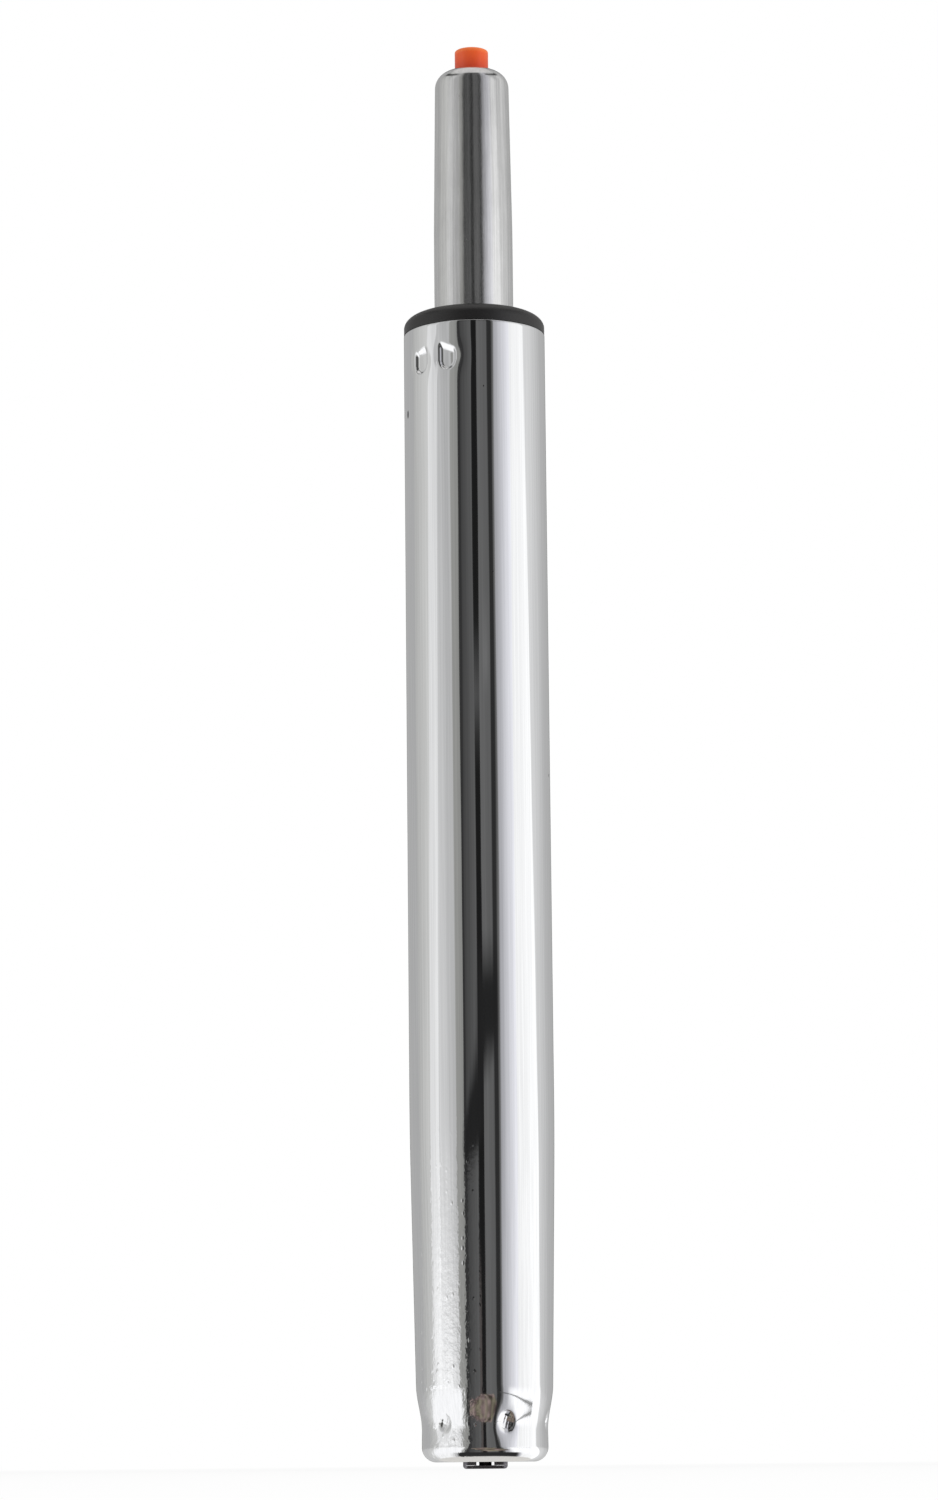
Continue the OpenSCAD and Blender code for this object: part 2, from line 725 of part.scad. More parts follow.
// Drawn tube with the seat taper, the rounded shoulder and the button's hole
module gas_tube() {
    shoulder_x = seat_taper_r - shoulder_r;
    color(steel) rotate_extrude()
        polygon(concat(
            [[tube_bottom_hole_d / 2, tube_z]],
            arc_points(tube_r - tube_edge_r, tube_z + tube_edge_r, tube_edge_r, -90, 0, edge_steps),
            [[tube_r, seat_taper_z]],
            arc_points(shoulder_x, shoulder_z, shoulder_r, 0, 90, edge_steps),
            [[button_hole_r, tube_top], [button_hole_r, button_lip_z]],
            arc_points(shoulder_x, shoulder_z, shoulder_r - tube_wall, 90, 0, edge_steps),
            [[tube_bore_r, seat_taper_z]],
            arc_points(tube_r - tube_edge_r, tube_z + tube_edge_r, tube_edge_r - tube_wall, 0, -90, edge_steps),
            [[tube_bottom_hole_d / 2, tube_z + tube_wall]]
        ));
}

module end_ring() {
    chamfer = tube_edge_r - tube_wall + fitting_play;
    color(zinc) rotate_extrude()
        polygon([
            [rod_washer_bore_r, end_ring_z],
            [fitting_r - chamfer, end_ring_z],
            [fitting_r, end_ring_z + chamfer],
            [fitting_r, rod_seal_z],
            [rod_washer_bore_r, rod_seal_z]
        ]);
}

module rod_seal() {
    lip_r = rod_bore_r + rod_seal_lip;
    color(rubber) rotate_extrude()
        polygon([
            [rod_bore_r, rod_seal_z + rod_seal_lip],
            [lip_r, rod_seal_z],
            [fitting_r, rod_seal_z],
            [fitting_r, seal_washer_z],
            [lip_r, seal_washer_z],
            [rod_bore_r, seal_washer_z - rod_seal_lip]
        ]);
}

module seal_washer() {
    color(zinc) washer(seal_washer_z, fitting_r, rod_washer_bore_r, seal_washer_t);
}

module rod_guide() {
    spigot_r = inner_bore_r - fitting_play;
    color(white_plastic) rotate_extrude()
        polygon([
            [rod_bore_r, rod_guide_z],
            [fitting_r, rod_guide_z],
            [fitting_r, inner_cylinder_z],
            [spigot_r, inner_cylinder_z],
            [spigot_r, rod_guide_top - rod_chamfer],
            [spigot_r - rod_chamfer, rod_guide_top],
            [rod_bore_r, rod_guide_top]
        ]);
}

module inner_cylinder() {
    color(steel) washer(inner_cylinder_z, inner_outer_r, inner_bore_r, valve_body_z - inner_cylinder_z);
}

// Two rubber rings seal the valve body in the tube's taper
function valve_ring_z(level) = valve_body_z + valve_body_h * level;

module valve_body() {
    spigot_r = inner_bore_r - fitting_play;
    lower_r = tube_bore_at(valve_body_z) - fitting_play;
    upper_r = tube_bore_at(pin_guide_z) - fitting_play;
    color(brass) difference() {
        union() {
            translate([0, 0, valve_body_z - valve_spigot_h]) cylinder(r = spigot_r, h = valve_spigot_h + cut);
            translate([0, 0, valve_body_z]) cylinder(r1 = lower_r, r2 = upper_r, h = valve_body_h);
        }
        for (level = ring_levels) {
            z = valve_ring_z(level);
            floor_r = tube_bore_at(z) - ring_gap - ring_section;
            difference() {
                translate([0, 0, z - ring_groove_h / 2]) cylinder(r = tube_r, h = ring_groove_h);
                translate([0, 0, z - ring_section]) cylinder(r = floor_r, h = 2 * ring_section);
            }
        }
        translate([0, 0, valve_body_z - valve_spigot_h - cut])
            cylinder(r = valve_bore_r, h = valve_face_z - valve_body_z + valve_spigot_h + cut);
        translate([0, 0, valve_face_z - cut]) cylinder(r = pin_r + pin_play, h = valve_land_h + pin_seal_h + 2 * cut);
        translate([0, 0, valve_seat_z]) cylinder(r = pin_seal_d / 2, h = pin_seal_h + cut);
    }
}

module valve_body_rings() {
    color(rubber) for (level = ring_levels) {
        z = valve_ring_z(level);
        middle_r = tube_bore_at(z) - ring_gap - ring_section / 2;
        rotate_extrude() translate([middle_r, z]) circle(d = ring_section, $fn = 32);
    }
}

module pin_seal() {
    color(rubber) washer(valve_seat_z, pin_seal_d / 2 - ring_gap, pin_r + pin_play, pin_seal_h);
}

module pin_guide() {
    lower_r = tube_bore_at(pin_guide_z) - fitting_play;
    upper_r = tube_bore_at(pin_guide_top) - fitting_play;
    color(white_plastic) difference() {
        translate([0, 0, pin_guide_z]) cylinder(r1 = lower_r, r2 = upper_r, h = pin_guide_h);
        translate([0, 0, pin_guide_z - cut]) cylinder(r = pin_r + pin_play, h = pin_guide_h + 2 * cut);
    }
}

module release_button() {
    top = tube_top + button_out;
    button_r = button_d / 2;
    flange_r = button_flange_d / 2;
    color([0.91, 0.39, 0.18]) difference() {
        rotate_extrude()
            polygon(concat(
                [[0, button_z], [flange_r, button_z], [flange_r, button_lip_z], [button_r, button_lip_z]],
                arc_points(button_r - button_edge, top - button_edge, button_edge, 0, 90, edge_steps),
                [[0, top]]
            ));
        translate([0, 0, button_z - cut]) cylinder(r = pin_r, h = pin_socket_h + cut);
    }
}

module valve_pin() {
    pin_bottom = valve_face_z - pin_head_h;
    color(steel) {
        translate([0, 0, pin_bottom]) cylinder(r = pin_r, h = button_z + pin_socket_h - pin_bottom);
        translate([0, 0, pin_bottom]) cylinder(r = pin_head_d / 2, h = pin_head_h);
    }
}

column_tube();
guide_sleeve();
base_bush();
lower_race();
ball_cage();
bearing_balls();
upper_race();
support_washer();
rubber_bumper();
piston_rod();
piston();
piston_ring();
piston_washer();
piston_nut();
clip_washer();
retaining_clip();
gas_tube();
end_ring();
rod_seal();
seal_washer();
rod_guide();
inner_cylinder();
valve_body();
valve_body_rings();
pin_seal();
pin_guide();
release_button();
valve_pin();
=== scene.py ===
# Chair gas lift cylinder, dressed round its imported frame. The part's lengths are named in
# millimetres and turned into metres by mm, the studio's are metres, and angles are degrees from
# the front, -Y, towards +X.
import math

import bpy
from mathutils import Matrix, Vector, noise


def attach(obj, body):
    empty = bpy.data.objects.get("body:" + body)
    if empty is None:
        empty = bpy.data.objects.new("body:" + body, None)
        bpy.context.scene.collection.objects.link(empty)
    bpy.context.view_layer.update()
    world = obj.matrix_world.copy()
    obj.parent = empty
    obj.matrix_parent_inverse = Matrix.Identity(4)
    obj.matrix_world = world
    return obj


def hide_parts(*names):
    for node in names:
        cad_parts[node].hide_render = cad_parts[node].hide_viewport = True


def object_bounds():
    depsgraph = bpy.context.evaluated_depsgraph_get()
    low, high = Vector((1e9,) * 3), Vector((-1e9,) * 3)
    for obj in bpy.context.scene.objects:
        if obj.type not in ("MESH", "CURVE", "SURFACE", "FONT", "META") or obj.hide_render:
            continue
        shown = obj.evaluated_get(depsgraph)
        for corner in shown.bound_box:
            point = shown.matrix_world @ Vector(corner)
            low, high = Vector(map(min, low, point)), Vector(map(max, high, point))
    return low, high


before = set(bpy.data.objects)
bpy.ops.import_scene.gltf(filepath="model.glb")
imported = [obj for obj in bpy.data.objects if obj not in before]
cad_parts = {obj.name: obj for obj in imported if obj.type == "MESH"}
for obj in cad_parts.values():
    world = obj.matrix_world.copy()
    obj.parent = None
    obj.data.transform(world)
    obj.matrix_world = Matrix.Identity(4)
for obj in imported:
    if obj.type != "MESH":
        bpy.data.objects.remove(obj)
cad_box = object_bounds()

# Column tube
# A drawn steel tube with a bright chrome plate, tapered to wedge into the chair's base, necked and
# rolled in at the foot. Stakes punched into it hold the guide sleeve above and the bush below.
mm = 0.001
column_r = 25.0
column_h = 395.0
column_wall = 1.8
base_taper_top = 112.0
base_taper_z = 25.8
base_taper_loss = 1.55
taper_blend = 14.0
neck_r = 21.6
neck_h = 10.4
edge_r = 5.0
lip_hole_r = 14.0
lip_edge = 0.25
rim_r = 0.35
column_facets = 480
weld = 0.002 * mm
crease = 32
stake_crease = 50
stake_ring_gap = 0.36
foot_band = (5.0, 25.0)
upper_band = (369.0, 394.0)
# The outside's rings of points: spans of height, each with the gap between its rings
outer_rings = (
    (*foot_band, stake_ring_gap), (26.0, 96.0, 7.0), (98.0, 128.0, 3.0), (150.0, 350.0, 40.0),
    (upper_band[0], 374.7, 0.8), (375.5, 389.0, stake_ring_gap), (389.8, upper_band[1], 0.8),
)


def turn_on_lathe(name, outline, facets):
    """A piece made by spinning an outline of (radius, height) points round the column's axis."""
    bpy.ops.object.select_all(action="DESELECT")
    bpy.ops.mesh.primitive_plane_add(size=mm)
    piece = bpy.context.object
    piece.name = name
    piece.data.name = name
    bpy.ops.object.mode_set(mode="EDIT")
    bpy.ops.mesh.select_mode(type="VERT")
    bpy.ops.mesh.select_all(action="SELECT")
    bpy.ops.mesh.merge(type="CENTER")
    bpy.ops.transform.translate(value=(outline[0][0] * mm, 0, outline[0][1] * mm))
    for (r0, z0), (r1, z1) in zip(outline, outline[1:]):
        step = {"value": ((r1 - r0) * mm, 0, (z1 - z0) * mm)}
        bpy.ops.mesh.extrude_region_move(TRANSFORM_OT_translate=step)
    bpy.ops.object.mode_set(mode="OBJECT")
    turn = piece.modifiers.new("turn", "SCREW")
    turn.angle = 2 * math.pi
    turn.steps = facets
    turn.render_steps = facets
    turn.use_merge_vertices = True
    turn.merge_threshold = weld
    bpy.ops.object.modifier_apply(modifier=turn.name)
    bpy.ops.object.mode_set(mode="EDIT")
    bpy.ops.mesh.select_all(action="SELECT")
    bpy.ops.mesh.remove_doubles(threshold=weld)
    bpy.ops.mesh.normals_make_consistent(inside=False)
    bpy.ops.object.mode_set(mode="OBJECT")
    bpy.ops.object.shade_smooth_by_angle(angle=math.radians(crease))
    return piece


def arc(x, z, r, start, end, steps):
    """Points on an arc about (x, z), from one angle to another."""
    angles = [math.radians(start + (end - start) * i / steps) for i in range(steps + 1)]
    return [(x + r * math.cos(a), z + r * math.sin(a)) for a in angles]


def ease(t):
    """Goes from 0 to 1 with a soft start and end."""
    t = min(max(t, 0.0), 1.0)
    return t * t * (3 - 2 * t)


def levels(low, high, gap):
    """Evenly spaced heights from low to high, no further apart than gap."""
    count = math.ceil((high - low) / gap)
    return [low + (high - low) * i / count for i in range(count + 1)]


def rings(spans):
    """The levels of several spans, each with its own gap."""
    return [level for span in spans for level in levels(*span)]


def column_radius(z):
    """The column's outside radius: neck, taper and shank run into each other softly."""
    slope = base_taper_loss / (base_taper_top - base_taper_z)
    below = base_taper_top + taper_blend - z
    if below <= 0:
        cone = column_r
    elif below < 2 * taper_blend:
        cone = column_r - slope * below ** 2 / (4 * taper_blend)
    else:
        cone = column_r - slope * (base_taper_top - z)
    return neck_r + (cone - neck_r) * ease((z - neck_h) / (base_taper_z - neck_h))


outer_levels = rings(outer_rings) + [column_h - rim_r]
inner_levels = [column_h - rim_r, 300, 200, base_taper_top, 60, base_taper_z, 20, 16, 12, neck_h]
column_outline = [(lip_hole_r, lip_edge), (lip_hole_r + lip_edge, 0)]
column_outline += arc(neck_r - edge_r, edge_r, edge_r, -90, 0, 16)[:-1]
column_outline += [(column_radius(z), z) for z in outer_levels]
column_outline += arc(column_r - rim_r, column_h - rim_r, rim_r, 0, 90, 4)[1:]
column_outline += [(column_radius(z) - column_wall, z) for z in inner_levels]
column_outline += arc(neck_r - edge_r, edge_r, edge_r - column_wall, 0, -90, 8)
column_outline += [(lip_hole_r, column_wall), (lip_hole_r, lip_edge)]
column = turn_on_lathe("column_shell", column_outline, column_facets)

# The pair near the rim: angle of each stake and lean of its slanted head
stake_pair = ((-50.0, 11.0), (-22.9, -23.0))
pair_sides = (0.0, 180.0)
upper_stake_z = column_h - 13.3
upper_stake_half_w = 2.1
upper_stake_high = 2.9
upper_stake_low = 0.9
upper_stake_depth = 1.15
side_slope_w = 1.5
foot_slope_w = 1.2
head_slope_w = 2.3
side_softness = 0.35
head_softness = 0.14
upper_dish_depth = 0.22
upper_dish_reach = 2.9
upper_dish_rise = 0.9
upper_dish_h = 5.6
foot_stake_z = 13.2
foot_stake_step = 60.0
foot_stake_first = 20.0
# Half width, half height and depth of the soft dish round a foot stake and of its core
foot_dish = (3.3, 5.0, 0.55)
foot_core = (2.9, 3.6, 0.8)
foot_core_flat = 0.2
foot_core_softness = 0.5
# The blunt punch's chatter: its depth and two crossing waves, by their rates round and up
chatter_depth = 0.13
chatter_along = (3.4, 1.7)
chatter_across = (-1.5, 3.1, 0.6)


def sunk(t, softness):
    """Goes from 1 at t = 0 to 0 at t = 1 in a straight slope with a rounded foot and brow."""
    t = min(max(t, 0.0), 1.0)
    steepest = 1 / (1 - softness)
    if t < softness:
        return 1 - steepest * t ** 2 / (2 * softness)
    if t > 1 - softness:
        return steepest * (1 - t) ** 2 / (2 * softness)
    return 1 - steepest * (t - softness / 2)


def upper_stake_dent(angle, z):
    """Depth of the punched pair at one place on the column, in mm."""
    dent = 0.0
    for side in pair_sides:
        for place, lean in stake_pair:
            turn = (angle - place - side + 180) % 360 - 180
            u = math.radians(turn) * column_r
            w = z - upper_stake_z
            if w < -upper_stake_low:
                outside = math.hypot(u, w + upper_stake_low) - upper_stake_half_w
                across = max(outside / foot_slope_w, 0)
            else:
                outside = abs(u) - upper_stake_half_w
                across = max(outside / side_slope_w, 0)
            above = w - upper_stake_high - math.tan(math.radians(lean)) * u
            up = max(above / head_slope_w, 0)
            softness = head_softness if up > across else side_softness
            aside = max(abs(u) - upper_stake_half_w - side_slope_w, 0) / upper_dish_reach
            from_middle = (w - upper_dish_rise) / upper_dish_h
            dish = upper_dish_depth * math.exp(-(aside ** 2) - from_middle ** 2)
            dent = max(dent, upper_stake_depth * sunk(math.hypot(across, up), softness) + dish)
    return dent


def foot_stake_dent(angle, z):
    """Depth of the ring of soft stakes round the foot, in mm."""
    turn = (angle - foot_stake_first + foot_stake_step / 2) % foot_stake_step - foot_stake_step / 2
    u = math.radians(turn) * neck_r
    w = z - foot_stake_z
    dish_w, dish_h, dish_depth = foot_dish
    core_w, core_h, core_depth = foot_core
    dish = dish_depth * math.exp(-((u / dish_w) ** 2) - (w / dish_h) ** 2)
    core = sunk(math.hypot(u / core_w, w / core_h) - foot_core_flat, foot_core_softness)
    chatter = chatter_depth * math.sin(chatter_along[0] * u + chatter_along[1] * w)
    chatter *= math.sin(chatter_across[0] * u + chatter_across[1] * w + chatter_across[2])
    return dish + (core_depth + chatter) * core


# A vertex group holds the dents' depths as shares of one that none of them reaches
deepest = 2.0
punched = column.vertex_groups.new(name="punched")
for v in column.data.vertices:
    z = v.co.z / mm
    radius = math.hypot(v.co.x, v.co.y) / mm
    if radius < column_radius(z) - 0.5 * column_wall:
        continue
    angle = math.degrees(math.atan2(v.co.x, -v.co.y))
    if foot_band[0] <= z <= foot_band[1]:
        punched.add([v.index], foot_stake_dent(angle, z) / deepest, "REPLACE")
    elif upper_band[0] <= z <= upper_band[1]:
        punched.add([v.index], upper_stake_dent(angle, z) / deepest, "REPLACE")
punch = column.modifiers.new("stakes", "DISPLACE")
punch.vertex_group = "punched"
punch.direction = "NORMAL"
punch.mid_level = 0
punch.strength = -deepest * mm
bpy.ops.object.modifier_apply(modifier=punch.name)
bpy.ops.object.shade_smooth_by_angle(angle=math.radians(stake_crease))


def new_finish(name):
    """A material with its nodes, links and shader."""
    material = bpy.data.materials.new(name)
    material.use_nodes = True
    tree = material.node_tree
    return material, tree.nodes, tree.links, tree.nodes["Principled BSDF"]


def new_effect(name, inputs, outputs):
    """A shader node group: its nodes, links and its two end nodes."""
    group = bpy.data.node_groups.new(name, "ShaderNodeTree")
    for socket, value in inputs.items():
        made = group.interface.new_socket(
            name=socket, in_out="INPUT", socket_type="NodeSocketFloat")
        made.default_value = value
    for socket in outputs:
        group.interface.new_socket(name=socket, in_out="OUTPUT", socket_type="NodeSocketFloat")
    start = group.nodes.new("NodeGroupInput")
    end = group.nodes.new("NodeGroupOutput")
    return group, group.nodes, group.links, start.outputs, end.inputs


def add_math(nodes, links, operation, *values):
    """A Math node on values or sockets; gives back its output."""
    node = nodes.new("ShaderNodeMath")
    node.operation = operation
    for socket, value in zip(node.inputs, values):
        if isinstance(value, (int, float)):
            socket.default_value = value
        else:
            links.new(value, socket)
    return node.outputs[0]


def add_noise(nodes, links, vector, scale, detail, roughness=0.5):
    """A noise texture on a vector socket."""
    node = nodes.new("ShaderNodeTexNoise")
    for socket, number in {"Scale": scale, "Detail": detail, "Roughness": roughness}.items():
        node.inputs[socket].default_value = number
    links.new(vector, node.inputs["Vector"])
    return node.outputs["Fac"]


def stretched_place(nodes, links, across=1, along=1):
    """Object coordinates scaled by one factor across the axis and another along it."""
    coordinates = nodes.new("ShaderNodeTexCoord")
    mapping = nodes.new("ShaderNodeMapping")
    mapping.inputs["Scale"].default_value = (across, across, along)
    links.new(coordinates.outputs["Object"], mapping.inputs["Vector"])
    return mapping.outputs["Vector"]


def object_axes(nodes, links):
    """The object coordinates as three sockets: X, Y and Z."""
    coordinates = nodes.new("ShaderNodeTexCoord")
    axes = nodes.new("ShaderNodeSeparateXYZ")
    links.new(coordinates.outputs["Object"], axes.inputs["Vector"])
    return axes.outputs


def spread(nodes, links, value, low, high, to_low, to_high):
    """Maps a value from one span to another, clamped."""
    node = nodes.new("ShaderNodeMapRange")
    ends = {"From Min": low, "From Max": high, "To Min": to_low, "To Max": to_high}
    for socket, number in ends.items():
        node.inputs[socket].default_value = number
    links.new(value, node.inputs["Value"])
    return node.outputs["Result"]


def add_effect(nodes, group, **settings):
    """A group node with its inputs set."""
    node = nodes.new("ShaderNodeGroup")
    node.node_tree = group
    for socket, value in settings.items():
        node.inputs[socket].default_value = value
    return node.outputs


def add_bump(nodes, links, height, depth, under=None):
    """A Bump node of a depth in mm, on top of another."""
    node = nodes.new("ShaderNodeBump")
    node.inputs["Distance"].default_value = depth * mm
    links.new(height, node.inputs["Height"])
    if under is not None:
        links.new(under, node.inputs["Normal"])
    return node.outputs["Normal"]


def tinted(nodes, links, mask, colour, other):
    """A colour that goes over to another where the mask is 1."""
    node = nodes.new("ShaderNodeMix")
    node.data_type = "RGBA"
    node.inputs["A"].default_value = (*colour, 1)
    node.inputs["B"].default_value = (*other, 1)
    links.new(mask, node.inputs["Factor"])
    return node.outputs["Result"]


def laid_over(nodes, links, mask, under, colour):
    """A colour laid over what is below it where the mask is 1."""
    node = nodes.new("ShaderNodeMix")
    node.data_type = "RGBA"
    links.new(mask, node.inputs["Factor"])
    links.new(under, node.inputs["A"])
    node.inputs["B"].default_value = (*colour, 1)
    return node.outputs["Result"]


# Noise hardly leaves this span, and most of it stays in the narrower one
noise_span = (0.3, 0.7)
noise_core = (0.35, 0.65)
# Draw lines run lengthwise on every drawn or ground tube. Noise rates are across and along it
fine_line = (1500, 14)
broad_line = (420, 6)
draw_lines, n, k, given, made = new_effect("draw_lines", {"Sway": 0.5}, ("Lines", "Wander"))
fine = add_noise(n, k, stretched_place(n, k, *fine_line), 1.0, 3.0, 0.6)
broad = add_noise(n, k, stretched_place(n, k, *broad_line), 1.0, 1.0)
k.new(spread(n, k, fine, *noise_core, 0, 1), made["Lines"])
k.new(add_math(n, k, "MULTIPLY", broad, given["Sway"]), made["Wander"])

# Specks are the pits and pimples that a plated surface shows here and there
speck_stretch = 0.55
speck_inputs = {"Scale": 300.0, "Share": 0.03, "Size": 0.2}
specks, n, k, given, made = new_effect("specks", speck_inputs, ("Mask", "Height"))
cells = n.new("ShaderNodeTexVoronoi")
cells.feature = "F1"
k.new(stretched_place(n, k, 1, speck_stretch), cells.inputs["Vector"])
k.new(given["Scale"], cells.inputs["Scale"])
split = n.new("ShaderNodeSeparateColor")
k.new(cells.outputs["Color"], split.inputs["Color"])
chosen = add_math(n, k, "LESS_THAN", split.outputs["Red"], given["Share"])
off_centre = add_math(n, k, "DIVIDE", cells.outputs["Distance"], given["Size"])
near = add_math(n, k, "MAXIMUM", add_math(n, k, "SUBTRACT", 1.0, off_centre), 0.0)
k.new(add_math(n, k, "MULTIPLY", near, chosen), made["Height"])
on_speck = add_math(n, k, "GREATER_THAN", near, 0.0)
k.new(add_math(n, k, "MULTIPLY", on_speck, chosen), made["Mask"])

# A nick is one small mark where handling has broken the plate
nick_edge = 0.7
nick_inputs = {"X": 0.0, "Y": 0.0, "Z": 0.0, "Width": 1.0, "Length": 1.0}
nick, n, k, given, made = new_effect("nick", nick_inputs, ("Mask",))
axes = object_axes(n, k)
squares = []
for axis, size in (("X", "Width"), ("Y", "Width"), ("Z", "Length")):
    offset = add_math(n, k, "SUBTRACT", axes[axis], given[axis])
    away = add_math(n, k, "DIVIDE", offset, given[size])
    squares.append(add_math(n, k, "POWER", away, 2.0))
across = add_math(n, k, "ADD", squares[0], squares[1])
distance = add_math(n, k, "SQRT", add_math(n, k, "ADD", across, squares[2]))
k.new(spread(n, k, distance, nick_edge, 1.0, 1, 0), made["Mask"])

# In each finish's values below, rough is what a thing adds to the roughness, or the span it is
# spread over, depth is a bump's in mm, and a noise is its scale, detail and roughness. Column
# nicks are azimuth, height, width and length
column_nicks = (
    (-71.0, 365.0, 0.9, 1.7), (78.0, 236.0, 0.5, 0.7), (13.0, 305.0, 0.3, 0.4),
    (7.0, 371.0, 0.2, 0.4),
)
chrome_bright = (0.82, 0.825, 0.84)
chrome_line = (0.75, 0.755, 0.77)
nick_colour = (0.06, 0.06, 0.065)
# The plate's rough left side at the foot: where it sets in and how far hammering and pimples rise
rough_foot_z = (0.12, 0.02)
rough_foot_x = (0.0, -0.008)
hammer_noise = (620, 2.0, 0.6)
hammer_stretch = 0.7
hammer_rise = 1.5
pimple_rise = 2.4
chrome_pits = {"Scale": 300.0, "Share": 0.012, "Size": 0.12}
chrome_pimples = {"Scale": 560.0, "Share": 0.2, "Size": 0.28}
chrome_rough = {"plate": 0.03, "lines": 0.015, "foot": 0.03, "pits": 0.1, "nicks": 0.3}
chrome_depth = {"waves": 0.02, "lines": 0.0005, "pits": 0.06}
chrome, n, k, shader = new_finish("chrome_plate")
lines = add_effect(n, draw_lines, Sway=1.0)
pits = add_effect(n, specks, **chrome_pits)
foot_pits = add_effect(n, specks, **chrome_pimples)
axes = object_axes(n, k)
low_down = spread(n, k, axes["Z"], *rough_foot_z, 0, 1)
to_left = spread(n, k, axes["X"], *rough_foot_x, 0, 1)
left_foot = add_math(n, k, "MULTIPLY", low_down, to_left)
hammered = add_noise(n, k, stretched_place(n, k, 1, hammer_stretch), *hammer_noise)
pimples = add_math(n, k, "MULTIPLY", foot_pits["Height"], pimple_rise)
foot_height = add_math(n, k, "MULTIPLY_ADD", hammered, hammer_rise, pimples)
foot_height = add_math(n, k, "MULTIPLY", foot_height, left_foot)
pit_height = add_math(n, k, "ADD", pits["Height"], foot_height)
marks = 0.0
for azimuth, height, width, length in column_nicks:
    turn = math.radians(azimuth)
    mark = add_effect(n, nick, X=column_r * math.sin(turn) * mm, Y=-column_r * math.cos(turn) * mm,
                      Z=height * mm, Width=width * mm, Length=length * mm)
    marks = add_math(n, k, "MAXIMUM", mark["Mask"], marks)
plate = tinted(n, k, lines["Lines"], chrome_bright, chrome_line)
k.new(laid_over(n, k, marks, plate, nick_colour), shader.inputs["Base Color"])
rough = chrome_rough["plate"]
for mask, thing in ((lines["Lines"], "lines"), (low_down, "foot"), (pits["Mask"], "pits"),
                    (marks, "nicks")):
    rough = add_math(n, k, "MULTIPLY_ADD", mask, chrome_rough[thing], rough)
k.new(rough, shader.inputs["Roughness"])
relief = add_bump(n, k, lines["Wander"], chrome_depth["waves"])
relief = add_bump(n, k, lines["Lines"], chrome_depth["lines"], relief)
k.new(add_bump(n, k, pit_height, chrome_depth["pits"], relief), shader.inputs["Normal"])
shader.inputs["Metallic"].default_value = 1.0
column.data.materials.append(chrome)
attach(column, "column")
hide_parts("column_tube")

# Guide sleeve
# One black moulding: its collar caps the column's rim and its ribbed barrel, held by the upper
# stakes, guides the gas tube. Satin from the mould, with a fine grain.
collar_r = 24.95
collar_side = 2.8
collar_top = 7.0
collar_flat_r = 18.9
collar_edge = 0.25
collar_gap = 0.02
sleeve_bore_r = 14.1
bore_mouth = (1.5, 1.2)
sleeve_r = 23.1
sleeve_edge = 1.0
sleeve_h = 100.0
sleeve_facets = 192
sleeve_head_h = 24.0
barrel_r = 16.6
rib_w = 1.8
rib_inset = 0.4
rib_sink = 1.0
rib_bevel = 0.25
rib_count = 12
ring_count = 3
ring_h = 6.0
ring_gap = (sleeve_h - sleeve_head_h) / ring_count

dome = [
    (collar_flat_r + (collar_r - collar_flat_r) * math.cos(math.radians(a)),
     column_h + collar_side + (collar_top - collar_side) * math.sin(math.radians(a)))
    for a in range(0, 91, 5)
]
foot = column_h - sleeve_h
sleeve_outline = [(sleeve_bore_r, foot), (sleeve_r, foot)]
for i in range(ring_count):
    ring_foot = foot + i * ring_gap
    sleeve_outline += [(sleeve_r, ring_foot + ring_h), (barrel_r, ring_foot + ring_h)]
    next_foot = foot + (i + 1) * ring_gap
    sleeve_outline += [(barrel_r, next_foot), (sleeve_r, next_foot)]
sleeve_outline += [(sleeve_r, column_h - sleeve_edge), (sleeve_r - sleeve_edge, column_h)]
sleeve_outline += [(collar_r - collar_edge, column_h + collar_gap)]
sleeve_outline += [(collar_r, column_h + collar_edge)]
sleeve_outline += dome + [(sleeve_bore_r + bore_mouth[0], column_h + collar_top)]
sleeve_outline += [(sleeve_bore_r, column_h + collar_top - bore_mouth[1]), (sleeve_bore_r, foot)]
sleeve = turn_on_lathe("guide_sleeve_moulding", sleeve_outline, sleeve_facets)

# Upright ribs stiffen the barrel between its rings and run a little way into the end ones
rib_root_r = (sleeve_bore_r + barrel_r) / 2
rib_reach = sleeve_r - rib_inset - rib_root_r
rib_foot = foot + rib_sink
rib_h = column_h - sleeve_head_h + rib_sink - rib_foot
bpy.ops.object.select_all(action="DESELECT")
bpy.ops.mesh.primitive_cube_add(
    size=mm, location=((rib_root_r + rib_reach / 2) * mm, 0, (rib_foot + rib_h / 2) * mm),
    scale=(rib_reach, rib_w, rib_h))
ribs = bpy.context.object
bpy.ops.object.transform_apply(location=True, rotation=False, scale=True)
bpy.ops.object.mode_set(mode="EDIT")
bpy.ops.mesh.select_all(action="SELECT")
bpy.ops.mesh.bevel(offset=rib_bevel * mm, segments=2, affect="EDGES")
bpy.ops.mesh.select_all(action="SELECT")
bpy.ops.mesh.spin(steps=rib_count - 1, dupli=True, center=(0, 0, 0), axis=(0, 0, 1),
                  angle=2 * math.pi * (rib_count - 1) / rib_count)
bpy.ops.object.mode_set(mode="OBJECT")
joined = sleeve.modifiers.new("ribs", "BOOLEAN")
joined.operation = "UNION"
joined.solver = "EXACT"
joined.object = ribs
bpy.ops.object.select_all(action="DESELECT")
bpy.context.view_layer.objects.active = sleeve
sleeve.select_set(True)
bpy.ops.object.modifier_apply(modifier=joined.name)
bpy.data.objects.remove(ribs)
bpy.ops.object.shade_smooth_by_angle(angle=math.radians(crease))

